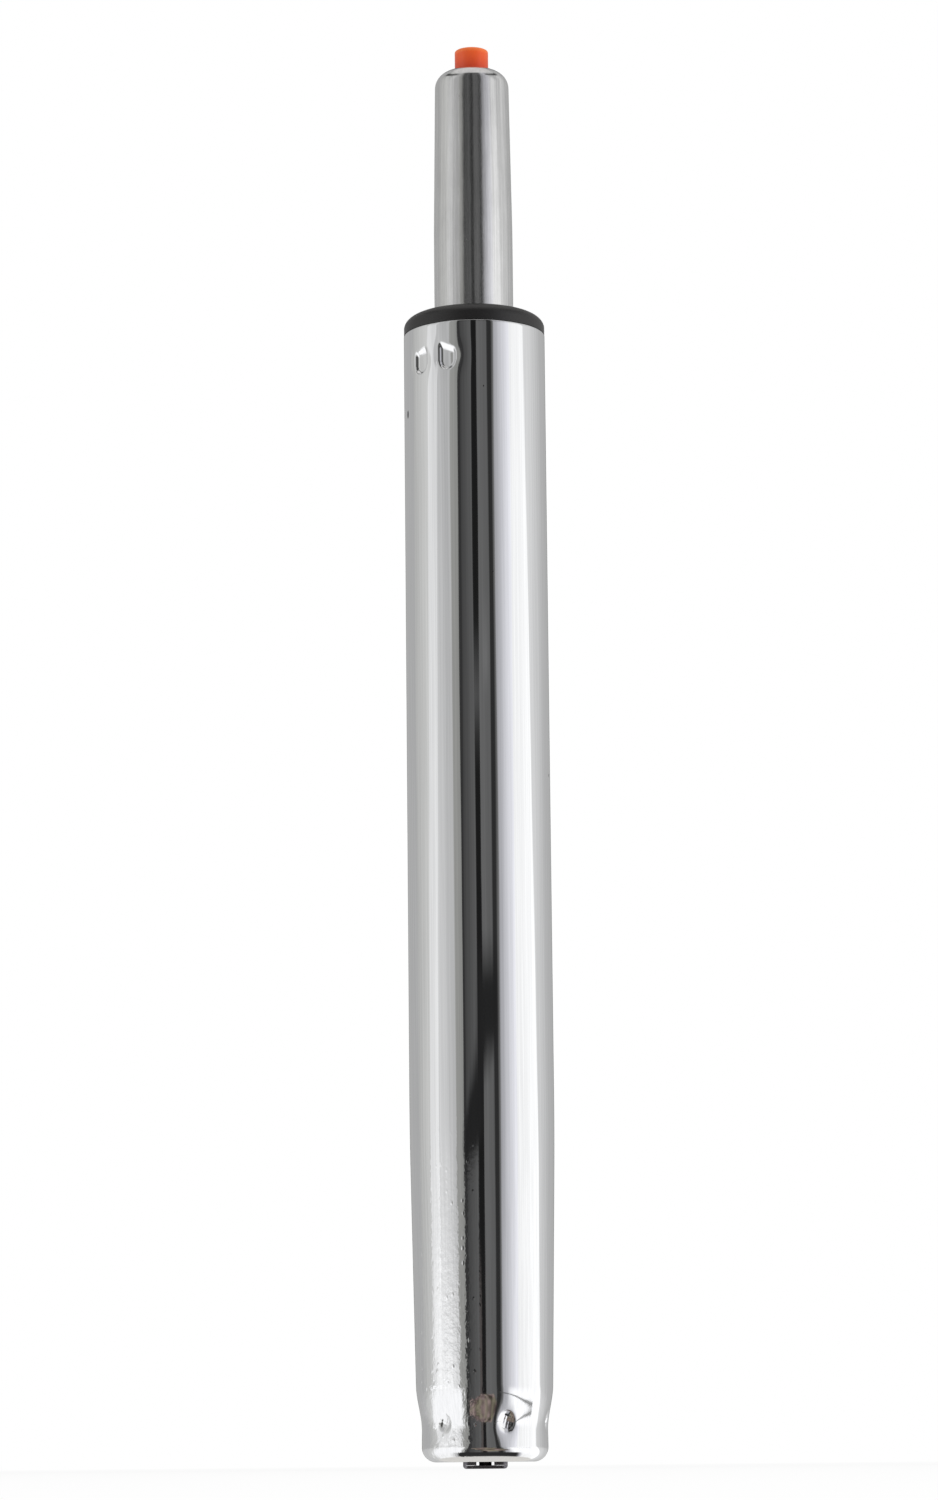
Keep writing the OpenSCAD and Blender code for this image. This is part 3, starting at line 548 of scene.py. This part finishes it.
black_dark = (0.010, 0.0095, 0.010)
black_pale = (0.016, 0.015, 0.0155)
black_grain = (2600, 3.0, 0.6)
black_cloud = (90, 2.0)
black_rough = (0.34, 0.46)
black_depth = 0.02
black, n, k, shader = new_finish("black_moulding")
grain = add_noise(n, k, stretched_place(n, k), *black_grain)
cloudy = add_noise(n, k, stretched_place(n, k), *black_cloud)
k.new(tinted(n, k, cloudy, black_dark, black_pale), shader.inputs["Base Color"])
k.new(spread(n, k, grain, *noise_span, *black_rough), shader.inputs["Roughness"])
k.new(add_bump(n, k, grain, black_depth), shader.inputs["Normal"])
sleeve.data.materials.append(black)
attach(sleeve, "column")
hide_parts("guide_sleeve")

# Gas tube
# A ground steel tube with a satin plate. Its upper end is swaged to the taper that wedges into the
# seat plate and closed in a rounded shoulder round the button.
tube_r = 14.0
tube_wall = 1.5
tube_foot = 34.0
tube_top = 492.5
tube_foot_edge = 2.0
tube_foot_hole_r = 9.0
shoulder_r = 5.8
seat_taper_h = 52.0
seat_taper_loss = 0.8
taper_onset_h = 6.0
taper_onset_loss = (0.02, 0.12)
button_hole_r = 6.2
button_hole_edge = 0.3
tube_facets = 288
shoulder_z = tube_top - shoulder_r
seat_taper_z = shoulder_z - seat_taper_h
shoulder_x = tube_r - seat_taper_loss - shoulder_r
foot_curve = (tube_r - tube_foot_edge, tube_foot + tube_foot_edge)

tube_outline = [(tube_foot_hole_r, tube_foot + tube_wall), (tube_foot_hole_r, tube_foot)]
tube_outline += arc(*foot_curve, tube_foot_edge, -90, 0, 8)
tube_outline += [(tube_r, z) for z in levels(50, seat_taper_z - taper_onset_h, 30)]
tube_outline += [(tube_r - taper_onset_loss[0], seat_taper_z)]
tube_outline += [(tube_r - taper_onset_loss[1], seat_taper_z + taper_onset_h)]
tube_outline += arc(shoulder_x, shoulder_z, shoulder_r, 0, 90, 16)
tube_outline += [(button_hole_r + button_hole_edge, tube_top)]
tube_outline += [(button_hole_r, tube_top - button_hole_edge)]
tube_outline += [(button_hole_r, tube_top - tube_wall)]
tube_outline += arc(shoulder_x, shoulder_z, shoulder_r - tube_wall, 90, 0, 8)
tube_outline += [(tube_r - tube_wall, seat_taper_z)]
tube_outline += arc(*foot_curve, tube_foot_edge - tube_wall, 0, -90, 4)
tube_outline += [(tube_foot_hole_r, tube_foot + tube_wall)]
tube = turn_on_lathe("gas_tube_shell", tube_outline, tube_facets)

satin_bright = (0.82, 0.82, 0.825)
satin_streak = (0.56, 0.56, 0.565)
satin_pits = {"Scale": 420.0, "Share": 0.03, "Size": 0.14}
satin_grain = (3200, 3.0, 0.65)
satin_grain_stretch = 0.4
satin_cloud = (170, 3.0, 0.6)
satin_cloud_stretch = 0.45
satin_cloud_span = (0.35, 0.7)
grinding_marks = (60, 3200)
streak_shares = {"wander": 0.4, "lines": 0.4, "cloud": 0.25}
satin_rough = {"grain": (0.13, 0.21), "pits": 0.1}
satin_depth = {"grain": 0.002, "cloud": 0.05, "marks": 0.0006, "lines": 0.0015, "pits": 0.03}
satin_metal = 0.97
satin, n, k, shader = new_finish("satin_plate")
lines = add_effect(n, draw_lines, Sway=1.0)
pits = add_effect(n, specks, **satin_pits)
grain = add_noise(n, k, stretched_place(n, k, 1, satin_grain_stretch), *satin_grain)
cloud = add_noise(n, k, stretched_place(n, k, 1, satin_cloud_stretch), *satin_cloud)
ground_round = add_noise(n, k, stretched_place(n, k, *grinding_marks), 1.0, 2.0)
streak = add_math(n, k, "MULTIPLY", lines["Lines"], streak_shares["lines"])
streak = add_math(n, k, "MULTIPLY_ADD", lines["Wander"], streak_shares["wander"], streak)
clouded = spread(n, k, cloud, *satin_cloud_span, 0, 1)
streak = add_math(n, k, "MULTIPLY_ADD", clouded, streak_shares["cloud"], streak)
k.new(tinted(n, k, streak, satin_bright, satin_streak), shader.inputs["Base Color"])
rough = spread(n, k, grain, *noise_span, *satin_rough["grain"])
rough = add_math(n, k, "MULTIPLY_ADD", pits["Mask"], satin_rough["pits"], rough)
k.new(rough, shader.inputs["Roughness"])
relief = None
for height, thing in ((grain, "grain"), (cloud, "cloud"), (ground_round, "marks"),
                      (lines["Lines"], "lines"), (pits["Height"], "pits")):
    relief = add_bump(n, k, height, satin_depth[thing], relief)
k.new(relief, shader.inputs["Normal"])
shader.inputs["Metallic"].default_value = satin_metal
tube.data.materials.append(satin)
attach(tube, "tube")
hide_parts("gas_tube")

# Release button
# An orange moulding that stands out of the tube and opens the valve when the seat's lever
# presses it. A flange below keeps it in the tube.
button_r = 6.0
button_top = 500.7
button_edge = 0.6
button_facets = 144
button_flange_r = 7.2
button_flange_z = 488.6
button_lip_z = tube_top - tube_wall
pin_socket = 6.0
pin_r = 1.5

button_outline = [(0, button_flange_z + pin_socket), (pin_r, button_flange_z + pin_socket)]
button_outline += [(pin_r, button_flange_z), (button_flange_r, button_flange_z)]
button_outline += [(button_flange_r, button_lip_z), (button_r, button_lip_z)]
button_outline += arc(button_r - button_edge, button_top - button_edge, button_edge, 0, 90, 8)
button_outline += [(3.0, button_top), (0, button_top)]
button = turn_on_lathe("release_button_moulding", button_outline, button_facets)

orange_bright = (0.90, 0.125, 0.016)
orange_dull = (0.82, 0.098, 0.013)
orange_grain = (2200, 2.0, 0.6)
orange_cloud = (260, 2.0)
orange_rough = (0.32, 0.42)
orange_depth = 0.006
# The button has painted shade, darker down towards the tube's lip, and painted light, paler on
# top: heights where each sets in and is full, and its colour
button_painted_shade_and_light = (
    (499.6, 493.0, (0.66, 0.052, 0.011)),
    (499.0, 500.5, (0.92, 0.215, 0.05)),
)
orange, n, k, shader = new_finish("orange_moulding")
grain = add_noise(n, k, stretched_place(n, k), *orange_grain)
cloudy = add_noise(n, k, stretched_place(n, k), *orange_cloud)
height = object_axes(n, k)["Z"]
wear_and_painted_light = tinted(n, k, cloudy, orange_bright, orange_dull)
# Painted shade low down and painted light on top, laid over the moulding's colour
for start, full, shade in button_painted_shade_and_light:
    wear_and_painted_light = laid_over(n, k, spread(n, k, height, start * mm, full * mm, 0, 1), wear_and_painted_light, shade)
k.new(wear_and_painted_light, shader.inputs["Base Color"])
k.new(spread(n, k, grain, *noise_span, *orange_rough), shader.inputs["Roughness"])
k.new(add_bump(n, k, grain, orange_depth), shader.inputs["Normal"])
button.data.materials.append(orange)
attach(button, "button")
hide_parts("release_button")

# Retaining clip
# Spring steel folded to two leaves and blackened in oil: the upper legs sit in the rod's groove
# under the washer, and the lower leaf snaps round the rod's head.
oil_black = (0.15, 0.145, 0.16)
rubbed_steel = (0.30, 0.29, 0.30)
clip_wear = (700, 3.0, 0.6)
clip_wear_span = (0.5, 0.72)
clip_grain = (4000, 2.0)
clip_rough = (0.3, 0.45)
clip_depth = 0.004
blackened, n, k, shader = new_finish("blackened_spring_steel")
worn = add_noise(n, k, stretched_place(n, k), *clip_wear)
grain = add_noise(n, k, stretched_place(n, k), *clip_grain)
wear_and_painted_light = spread(n, k, worn, *clip_wear_span, 0, 1)
k.new(tinted(n, k, wear_and_painted_light, oil_black, rubbed_steel), shader.inputs["Base Color"])
k.new(spread(n, k, grain, *noise_span, *clip_rough), shader.inputs["Roughness"])
k.new(add_bump(n, k, grain, clip_depth), shader.inputs["Normal"])
shader.inputs["Metallic"].default_value = 1.0


def dress(finish, *nodes):
    """Gives CAD pieces a finish."""
    for node in nodes:
        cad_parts[node].material_slots[0].material = finish


dress(blackened, "retaining_clip")

# Washers, bush, nut and rings
# Turned or pressed from mild steel and zinc plated: a bright grey with a faint mottle and the
# circular marks of the lathe.
zinc_colours = ((0.62, 0.63, 0.63), (0.52, 0.53, 0.54))


def mottled_finish(name, mottle, colours, rough, bump, metallic=1.0, turned=None):
    """A finish with a mottle of a scale, detail and roughness in its colour and its shine. The bump
    comes from the mottle too, or from a lathe's marks at their scales across and along."""
    finish, n, k, shader = new_finish(name)
    cloud = add_noise(n, k, stretched_place(n, k), *mottle)
    k.new(tinted(n, k, cloud, *colours), shader.inputs["Base Color"])
    k.new(spread(n, k, cloud, *noise_span, *rough), shader.inputs["Roughness"])
    marks = add_noise(n, k, stretched_place(n, k, *turned), 1.0, 2.0) if turned else cloud
    k.new(add_bump(n, k, marks, bump), shader.inputs["Normal"])
    shader.inputs["Metallic"].default_value = metallic
    return finish


zinc = mottled_finish("zinc_plate", (500, 3.0, 0.6), zinc_colours, (0.24, 0.38), 0.002,
                      turned=(60, 6000))
dress(zinc, "base_bush", "support_washer", "clip_washer", "piston_washer", "piston_nut",
      "end_ring", "seal_washer")

# Foot bearing
# Hardened races and balls, ground and polished, with a thin film of grease; the cage between them
# is pressed brass like the turned valve body.
greased_steel = ((0.66, 0.67, 0.69), (0.56, 0.55, 0.52))
hardened = mottled_finish("bearing_steel", (350, 3.0), greased_steel, (0.08, 0.2), 0.004)
dress(hardened, "lower_race", "upper_race", "bearing_balls")

brass_colours = ((0.72, 0.50, 0.20), (0.58, 0.38, 0.16))
brass = mottled_finish("turned_brass", (240, 3.0), brass_colours, (0.22, 0.36), 0.002,
                       turned=(60, 5000))
dress(brass, "ball_cage", "valve_body")

# Rod and valve pin
# Hard chromed and ground lengthwise, so that the seals run on them without wear. The rod's end in
# the clip is painted dark: painted shade where it sits in shadow between the washer and the clip.
rod_painted_shade_z = (1.2, 1.5)
rod_bright = (0.74, 0.75, 0.77)
rod_line = (0.66, 0.67, 0.69)
rod_end_painted_shade = (0.05, 0.048, 0.05)
rod_rough = {"plate": 0.1, "lines": 0.06, "shaded_end": 0.25}
rod_depth = 0.001
rod_plate, n, k, shader = new_finish("ground_rod_plate")
lines = add_effect(n, draw_lines, Sway=1.0)
# Painted shade: the rod's end between the washer and the clip is coloured dark and made rougher
shaded_end = spread(n, k, object_axes(n, k)["Z"], rod_painted_shade_z[0] * mm, rod_painted_shade_z[1] * mm, 1, 0)
plate = tinted(n, k, lines["Lines"], rod_bright, rod_line)
k.new(laid_over(n, k, shaded_end, plate, rod_end_painted_shade), shader.inputs["Base Color"])
rough = add_math(n, k, "MULTIPLY_ADD", lines["Lines"], rod_rough["lines"], rod_rough["plate"])
rough = add_math(n, k, "MULTIPLY_ADD", shaded_end, rod_rough["shaded_end"], rough)
k.new(rough, shader.inputs["Roughness"])
k.new(add_bump(n, k, lines["Lines"], rod_depth), shader.inputs["Normal"])
shader.inputs["Metallic"].default_value = 1.0
dress(rod_plate, "piston_rod", "valve_pin")

# Inner cylinder
# Thin drawn steel, left plain and wet with oil.
drawn_bright = (0.50, 0.51, 0.52)
drawn_line = (0.40, 0.40, 0.40)
drawn_rough = (0.1, 0.25)
drawn_depth = 0.002
drawn, n, k, shader = new_finish("drawn_steel")
lines = add_effect(n, draw_lines, Sway=1.0)
k.new(tinted(n, k, lines["Lines"], drawn_bright, drawn_line), shader.inputs["Base Color"])
rough = add_math(n, k, "MULTIPLY_ADD", lines["Lines"], *drawn_rough)
k.new(rough, shader.inputs["Roughness"])
k.new(add_bump(n, k, lines["Lines"], drawn_depth), shader.inputs["Normal"])
shader.inputs["Metallic"].default_value = 1.0
dress(drawn, "inner_cylinder")

# Seals and bumper
# Black nitrile rubber with the dull bloom of the mould.
rubber_colours = ((0.012, 0.012, 0.012), (0.03, 0.03, 0.03))
rubber = mottled_finish("black_rubber", (420, 3.0), rubber_colours, (0.6, 0.8), 0.02, metallic=0)
dress(rubber, "rubber_bumper", "piston_ring", "rod_seal", "valve_body_rings", "pin_seal")

# Piston and guides
# Natural acetal mouldings, slightly milky.
acetal_colours = ((0.80, 0.79, 0.74), (0.72, 0.71, 0.66))
acetal = mottled_finish("white_moulding", (300, 2.0), acetal_colours, (0.36, 0.46), 0.006,
                        metallic=0)
dress(acetal, "piston", "rod_guide", "pin_guide")

# Camera
# Fitted to the photo's silhouette: its height above the foot, its tilt and roll and its long lens.
# Lengths are metres from here on.
camera_away = 1.5016
camera_left = 0.00325
camera_pitch = 9.31
camera_roll = -0.55
photo_h = 1500
focal_px = 4343.4
sensor = 36.0

camera_data = bpy.data.cameras.new("camera")
camera_data.sensor_fit = "VERTICAL"
camera_data.sensor_height = sensor
camera_data.lens = focal_px / photo_h * sensor
camera_data.clip_end = 50
camera = bpy.data.objects.new("camera", camera_data)
bpy.context.scene.collection.objects.link(camera)
camera.location = (-camera_left, -camera_away, 0)
camera.rotation_euler = (math.radians(90 + camera_pitch), 0, 0)
bpy.context.view_layer.update()
camera.matrix_world = camera.matrix_world @ Matrix.Rotation(math.radians(camera_roll), 4, "Z")
bpy.context.scene.camera = camera

# Floor
# White paper that glows for the camera alone, and more fully away from the part, whose soft shadow
# it shows. From below it is clear.
floor_z = cad_box[0][2]
floor_size = 12
floor_white = 0.9
floor_rough = 0.9
floor_glow = (0.2, 1.4, 0.85, 1.0)
bpy.ops.object.select_all(action="DESELECT")
bpy.ops.mesh.primitive_plane_add(size=floor_size, location=(0, 0, floor_z))
floor = bpy.context.object
floor.name = "floor"
paper, n, k, shader = new_finish("white_paper")
shader.inputs["Base Color"].default_value = (floor_white, floor_white, floor_white, 1)
shader.inputs["Roughness"].default_value = floor_rough
glow = n.new("ShaderNodeEmission")
share = n.new("ShaderNodeMixShader")
path = n.new("ShaderNodeLightPath")
through = path.outputs["Is Transmission Ray"]
seen = add_math(n, k, "MAXIMUM", path.outputs["Is Camera Ray"], through)
place = n.new("ShaderNodeTexCoord")
reach = n.new("ShaderNodeVectorMath")
reach.operation = "LENGTH"
k.new(place.outputs["Object"], reach.inputs[0])
far = spread(n, k, reach.outputs["Value"], *floor_glow)
k.new(add_math(n, k, "MULTIPLY", seen, far), share.inputs["Fac"])
k.new(shader.outputs["BSDF"], share.inputs[1])
k.new(glow.outputs["Emission"], share.inputs[2])
side = n.new("ShaderNodeNewGeometry")
clear = n.new("ShaderNodeBsdfTransparent")
one_sided = n.new("ShaderNodeMixShader")
k.new(side.outputs["Backfacing"], one_sided.inputs["Fac"])
k.new(share.outputs["Shader"], one_sided.inputs[1])
k.new(clear.outputs["BSDF"], one_sided.inputs[2])
k.new(one_sided.outputs["Shader"], n["Material Output"].inputs["Surface"])
floor.data.materials.append(paper)
floor.visible_glossy = False

# Light tent
# A round tent with a table for its bottom, seen only in the metal. Its slit, where the camera looks
# in, gives the column its dark stripes.
plain = (1.0, 1.0, 0.99)
lavender = (0.985, 0.985, 1.03)
olive = (1.0, 1.0, 0.95)
cream = (1.0, 1.0, 0.972)
# Panels of the wall by angle from the camera's side: each begins at a start that leans by so many
# degrees a metre of height, runs from one brightness to another and has a tint. The narrow stripe
# is the gap in front
stripe_start = -6.2
tent_panels = (
    (-180, 0, 0.10, 0.12, plain), (-168, 0, 0.46, 0.50, plain), (-119, 0, 0.53, 0.72, cream),
    (-87.5, 12, 0.90, 0.92, plain), (-69, 12, 0.70, 0.62, plain), (-53, 0, 0.57, 0.57, plain),
    (-41, 0, 0.38, 0.32, olive), (-29, 0, 0.04, 0.04, plain), (-24.2, 0, 0.065, 0.13, plain),
    (stripe_start, 0, 0.013, 0.013, plain), (3.0, 0, 0.16, 0.13, plain),
    (20.0, 0, 0.033, 0.03, plain), (26.6, 0, 0.06, 0.22, plain), (30.4, 0, 0.42, 1.08, lavender),
    (58, 0, 1.10, 1.27, plain), (95.2, -22, 0.84, 0.57, plain), (130, 0, 0.55, 0.44, plain),
    (168, 0, 0.12, 0.10, plain), (181, 0, 0.10, 0.10, plain),
)
panel_softness = 0.9
panel_mid_z = 0.5
dark = 0.03
tent_r = 2.0
tent_top = 2.2
tent_columns = 540
table_z = -0.012
# Spans of the tent's rings of points, each with its gap: wall heights and table radii
wall_rings = ((table_z, 0.18, 0.03), (0.2, 0.42, 0.014), (0.46, 0.76, 0.03), (0.8, tent_top, 0.09))
table_rings = ((0.0001, 0.06, 0.0015), (0.063, 0.2, 0.003), (0.21, 0.8, 0.02), (0.9, 1.9, 0.2))
ceiling_rings = ((0.0001, 1.95, 0.05),)
# The ceiling has a pale round opening, and outside it a dark frame on each side, from one angle to
# another
ceiling_eye_r = 1.05
ceiling_eye_colour = (0.78, 0.765, 0.75)
ceiling_frame_r = (1.32, 1.82)
ceiling_frame_angle = (52, 122)
# Corners of the dark cloth that hangs across the opening, as angle and height
dark_cloth = [
    (-5, 0.4), (27, 0.4), (27, 0.338), (21.5, 0.325), (13.5, 0.319), (5.5, 0.312), (2.1, 0.3),
    (1.8, 0.272), (1.3, 0.222), (-6.8, 0.19), (-19.7, 0.171), (-28, 0.161), (-29.5, 0.208),
    (-26.9, 0.24), (-20.2, 0.273), (-16.8, 0.297), (-11.7, 0.313), (-6.8, 0.324),
]
cloth_fringe = [(a, h) for a in (-2.0, 0.0, 2.0) for h in (-0.01, 0.0, 0.01)]
cloth_angle = 34
cloth_z = (0.14, 0.42)
cloth_level = 0.02
# Level, middle and half height of the place where the stripe is hidden
stripe_break = 0.09
stripe_break_z = (0.615, 0.03)
# A haze beside it: level, middle and half size by angle and by height
haze_level = 0.06
haze_angle = (13, 5)
haze_z = (0.648, 0.024)
# The stripe's worn left edge low down, and the angles it covers
stripe_pink = (0.104, 0.092, 0.088)
pink_z = (0.085, -0.03)
pink_span = (-6.8, -2.2, 1.2, 1.4)
# Spans of angle are a low and a high end with the fade inwards from each. Left of the slit the
# wall's brightness falls with height, from a gain at the bottom by so much a metre
left_span = (-79, -42, 6, 8)
left_gain = 0.2
left_fall = 0.34
# Glows at the wall's foot: strength, middle and half height, and span of angle
foot_glows = (
    (0.24, (0.0, 0.13), (-92, -38, 8, 6)),
    (0.2, (table_z, 0.05), (-74, -38, 10, 6)),
)
# The wall dims from a height upwards, and how strongly depends on the span of angle
dims_z = (1.0, 0.25)
dims_depth = 0.2
dims = ((1.0, (-90, -58, 8, 8)), (1.4, (26, 104, 8, 8)), (1.0, (-30, 26, 6, 6)))
# Depth and rates of the wall cloth's fine folds, and of its broad ones
fine_folds = (0.025, 1.9, 0.37)
broad_folds = (0.015, 0.83)
# The table is lit at both sides: where that sets in, by angle and by distance from the axis
table_white = 1.3
table_left_loss = (0.12, -20)
lit_left = (-31, -8)
lit_right = (34, 14)
lit_behind = (106, -18)
lit_r = (0.027, 0.016)
lit_nearness = (0.025, 0.18)
nearness_r = 0.035
card_span = (-106, -56, 8, 8)
card_r = (0.42, 0.85, 0.08, 0.1)
part_shade_r = (0.042, -0.006)
part_shade_span = (-52, 62, 14, 14)
behind_level = 0.12
behind_angle = (90, 20)
behind_r = (0.4, -0.3)
under_edge_colour = (0.80, 0.78, 0.74)
under_edge_r = (0.0245, -0.002)
# The mat's corners, its two colours, and noise rates and layer of its grain and its pink blotches
mat_corners = [
    (-0.047, -0.108), (-0.014, -0.157), (0.038, -0.155),
    (0.038, -0.045), (0.004, -0.043), (-0.018, -0.066),
]
mat_colour = (0.24, 0.215, 0.155)
mat_pink = (0.27, 0.20, 0.19)
mat_grain = (110, 60, 0.3)
mat_grain_levels = (0.74, 1.1)
mat_blotch = (60, 40, 5.1)
mat_blotch_levels = (0.5, 1.6)


def mix(a, b, share):
    """A colour on the way from one to another."""
    return tuple(p + (q - p) * share for p, q in zip(a, b))


def past(value, edge, fade):
    """Goes from 0 to 1 from the edge on over the fade, downwards if the fade is negative."""
    return ease((value - edge) / fade)


def between(value, low, high, low_fade, high_fade):
    """1 inside a span and 0 outside, fading inwards from both ends."""
    return past(value, low, low_fade) * past(value, high, -high_fade)


def bell(value, middle, reach):
    """A soft peak of 1 at the middle."""
    return math.exp(-(((value - middle) / reach) ** 2))


def inside(corners, x, y):
    """True where the point lies in the polygon."""
    found = False
    for (x0, y0), (x1, y1) in zip(corners, corners[1:] + corners[:1]):
        if (y0 > y) != (y1 > y) and x < x0 + (x1 - x0) * (y - y0) / (y1 - y0):
            found = not found
    return found


def wall_colour(azimuth, z):
    """The tent wall's colour at an angle and height."""
    colour = (0, 0, 0)
    for (start, lean, low, high, tint), after in zip(tent_panels, tent_panels[1:]):
        edge = start + lean * (z - panel_mid_z)
        share = ease((azimuth - edge) / panel_softness + 0.5)
        if share > 0:
            along = min(max((azimuth - start) / (after[0] - start), 0), 1)
            level = low + (high - low) * along
            if start == stripe_start:
                level += stripe_break * bell(z, *stripe_break_z)
            colour = mix(colour, tuple(level * c for c in tint), share)
    if abs(azimuth) < cloth_angle and cloth_z[0] < z < cloth_z[1]:
        cover = sum(inside(dark_cloth, azimuth + a, z + h) for a, h in cloth_fringe)
        colour = mix(colour, (cloth_level,) * 3, cover / len(cloth_fringe))
    haze = haze_level * bell(azimuth, *haze_angle) * bell(z, *haze_z)
    colour = tuple(c + haze for c in colour)
    colour = mix(colour, stripe_pink, past(z, *pink_z) * between(azimuth, *pink_span))
    gain = 1 + between(azimuth, *left_span) * (left_gain - left_fall * min(z, 1))
    depth, rate, swell = fine_folds
    folds = 1 + depth * math.sin(azimuth * rate) * math.sin(azimuth * swell + 1)
    depth, rate = broad_folds
    folds += depth * math.sin(azimuth * rate)
    glow = 1 + sum(strength * bell(z, *height) * between(azimuth, *span)
                   for strength, height, span in foot_glows)
    dim = sum(weight * between(azimuth, *span) for weight, span in dims) * past(z, *dims_z)
    return tuple(c * gain * folds * (1 - dims_depth * dim) * glow for c in colour)


def table_colour(azimuth, x, y):
    """The table's colour: lit from both sides in front, with the part's shade and a mat."""
    r = math.hypot(x, y)
    colour = wall_colour(azimuth, 0.0)
    lit = past(azimuth, *lit_left) + past(azimuth, *lit_right)
    lit *= past(abs(azimuth), *lit_behind) * past(r, *lit_r)
    lit *= past(nearness_r / r, *lit_nearness)
    loss, loss_fade = table_left_loss
    colour = mix(colour, (table_white - loss * past(azimuth, 0, loss_fade),) * 3, lit)
    card = between(azimuth, *card_span) * between(r, *card_r)
    colour = mix(colour, (table_white,) * 3, card)
    if inside(mat_corners, x, y):
        across, along, layer = mat_grain
        base, swing = mat_grain_levels
        grain = base + swing * noise.noise((x * across, y * along, layer))
        across, along, layer = mat_blotch
        base, swing = mat_blotch_levels
        pink = ease(base + swing * noise.noise((x * across, y * along, layer)))
        colour = tuple(c * grain for c in mix(mat_colour, mat_pink, pink))
    behind = behind_level * past(abs(azimuth), *behind_angle) * past(r, *behind_r)
    shade = past(r, *part_shade_r) * between(azimuth, *part_shade_span)
    colour = mix(tuple(c + behind for c in colour), (dark,) * 3, shade)
    return mix(colour, under_edge_colour, past(r, *under_edge_r))


def only_in_gloss(card):
    """Shows a card of the studio in the metal alone."""
    card.visible_camera = False
    card.visible_diffuse = False
    card.visible_shadow = False
    card.visible_transmission = False
    card.visible_volume_scatter = False


tent_outline = [(r, table_z) for r in rings(table_rings)]
tent_outline += [(tent_r, z) for z in rings(wall_rings)]
tent_outline += [(r, tent_top) for r in rings(ceiling_rings)[::-1]]
tent = turn_on_lathe("light_tent", [(r / mm, z / mm) for r, z in tent_outline], tent_columns)
hair = 0.001
lining = tent.data.attributes.new("lining", "FLOAT_COLOR", "POINT")
for v in tent.data.vertices:
    azimuth = math.degrees(math.atan2(v.co.x, -v.co.y))
    reach = math.hypot(v.co.x, v.co.y)
    on_ceiling = v.co.z > tent_top - hair
    in_frame = (ceiling_frame_r[0] < reach < ceiling_frame_r[1]
                and ceiling_frame_angle[0] < abs(azimuth) < ceiling_frame_angle[1])
    if v.co.z < table_z + hair and reach < tent_r - hair:
        colour = table_colour(azimuth, v.co.x, v.co.y)
    elif on_ceiling and reach < ceiling_eye_r:
        colour = ceiling_eye_colour
    elif on_ceiling and in_frame:
        colour = (dark,) * 3
    else:
        colour = wall_colour(azimuth, v.co.z)
    lining.data[v.index].color = (*colour, 1)
lining_cloth, n, k, shader = new_finish("tent_lining")
glow = n.new("ShaderNodeEmission")
read = n.new("ShaderNodeAttribute")
read.attribute_name = "lining"
k.new(read.outputs["Color"], glow.inputs["Color"])
k.new(glow.outputs["Emission"], n["Material Output"].inputs["Surface"])
tent.data.materials.append(lining_cloth)
only_in_gloss(tent)

# Table seam
# A strip of dark tape across the table, seen in the foot beside the stake.
seam_start = (0.075, -0.170)
seam_end = (0.149, -0.011)
seam_w = 0.011
seam_lift = 0.0004
seam_colour = (0.06, 0.06, 0.055)
bpy.ops.object.select_all(action="DESELECT")
seam_run = (seam_end[0] - seam_start[0], seam_end[1] - seam_start[1])
seam_turn = math.atan2(seam_run[1], seam_run[0])
bpy.ops.mesh.primitive_plane_add(size=1, location=(0, 0, 0))
bpy.ops.transform.resize(value=(math.hypot(*seam_run), seam_w, 1))
seam = bpy.context.object
seam.name = "table_seam"
seam.rotation_euler.z = seam_turn
seam.location = (seam_start[0] + seam_run[0] / 2, seam_start[1] + seam_run[1] / 2,
                 table_z + seam_lift)
bpy.ops.object.transform_apply(location=True, rotation=True, scale=True)
seam_tape, n, k, shader = new_finish("table_seam")
shader.inputs["Base Color"].default_value = (0, 0, 0, 1)
shader.inputs["Emission Color"].default_value = (*seam_colour, 1)
shader.inputs["Emission Strength"].default_value = 1
seam.data.materials.append(seam_tape)
only_in_gloss(seam)

# World and lamps
# The world is white to the camera and in the metal, and lights the part at half that strength. Two
# soft lamps at the sides light what isn't metal.
ambient = 0.5
world = bpy.data.worlds.new("studio")
bpy.context.scene.world = world
world.use_nodes = True
n, k = world.node_tree.nodes, world.node_tree.links
path = n.new("ShaderNodeLightPath")
seen = add_math(n, k, "MAXIMUM", path.outputs["Is Camera Ray"], path.outputs["Is Glossy Ray"])
seen = add_math(n, k, "MAXIMUM", seen, path.outputs["Is Transmission Ray"])
k.new(spread(n, k, seen, 0, 1, ambient, 1.0), n["Background"].inputs["Strength"])
n["Background"].inputs["Color"].default_value = (1, 1, 1, 1)

lamps = (("lamp_left", -72, 10), ("lamp_right", 66, 18))
lamp_w = 0.9
lamp_h = 1.3
lamp_away = 1.7
lamp_z = 1.3
lamp_pitch = 58
for name, azimuth, watts in lamps:
    lamp_data = bpy.data.lights.new(name, "AREA")
    lamp_data.shape = "RECTANGLE"
    lamp_data.size = lamp_w
    lamp_data.size_y = lamp_h
    lamp_data.energy = watts
    lamp = bpy.data.objects.new(name, lamp_data)
    bpy.context.scene.collection.objects.link(lamp)
    turn = math.radians(azimuth)
    lamp.location = (lamp_away * math.sin(turn), -lamp_away * math.cos(turn), lamp_z)
    lamp.rotation_euler = (math.radians(lamp_pitch), 0, turn)
    lamp.visible_glossy = False

bpy.context.scene.view_settings.view_transform = "Standard"
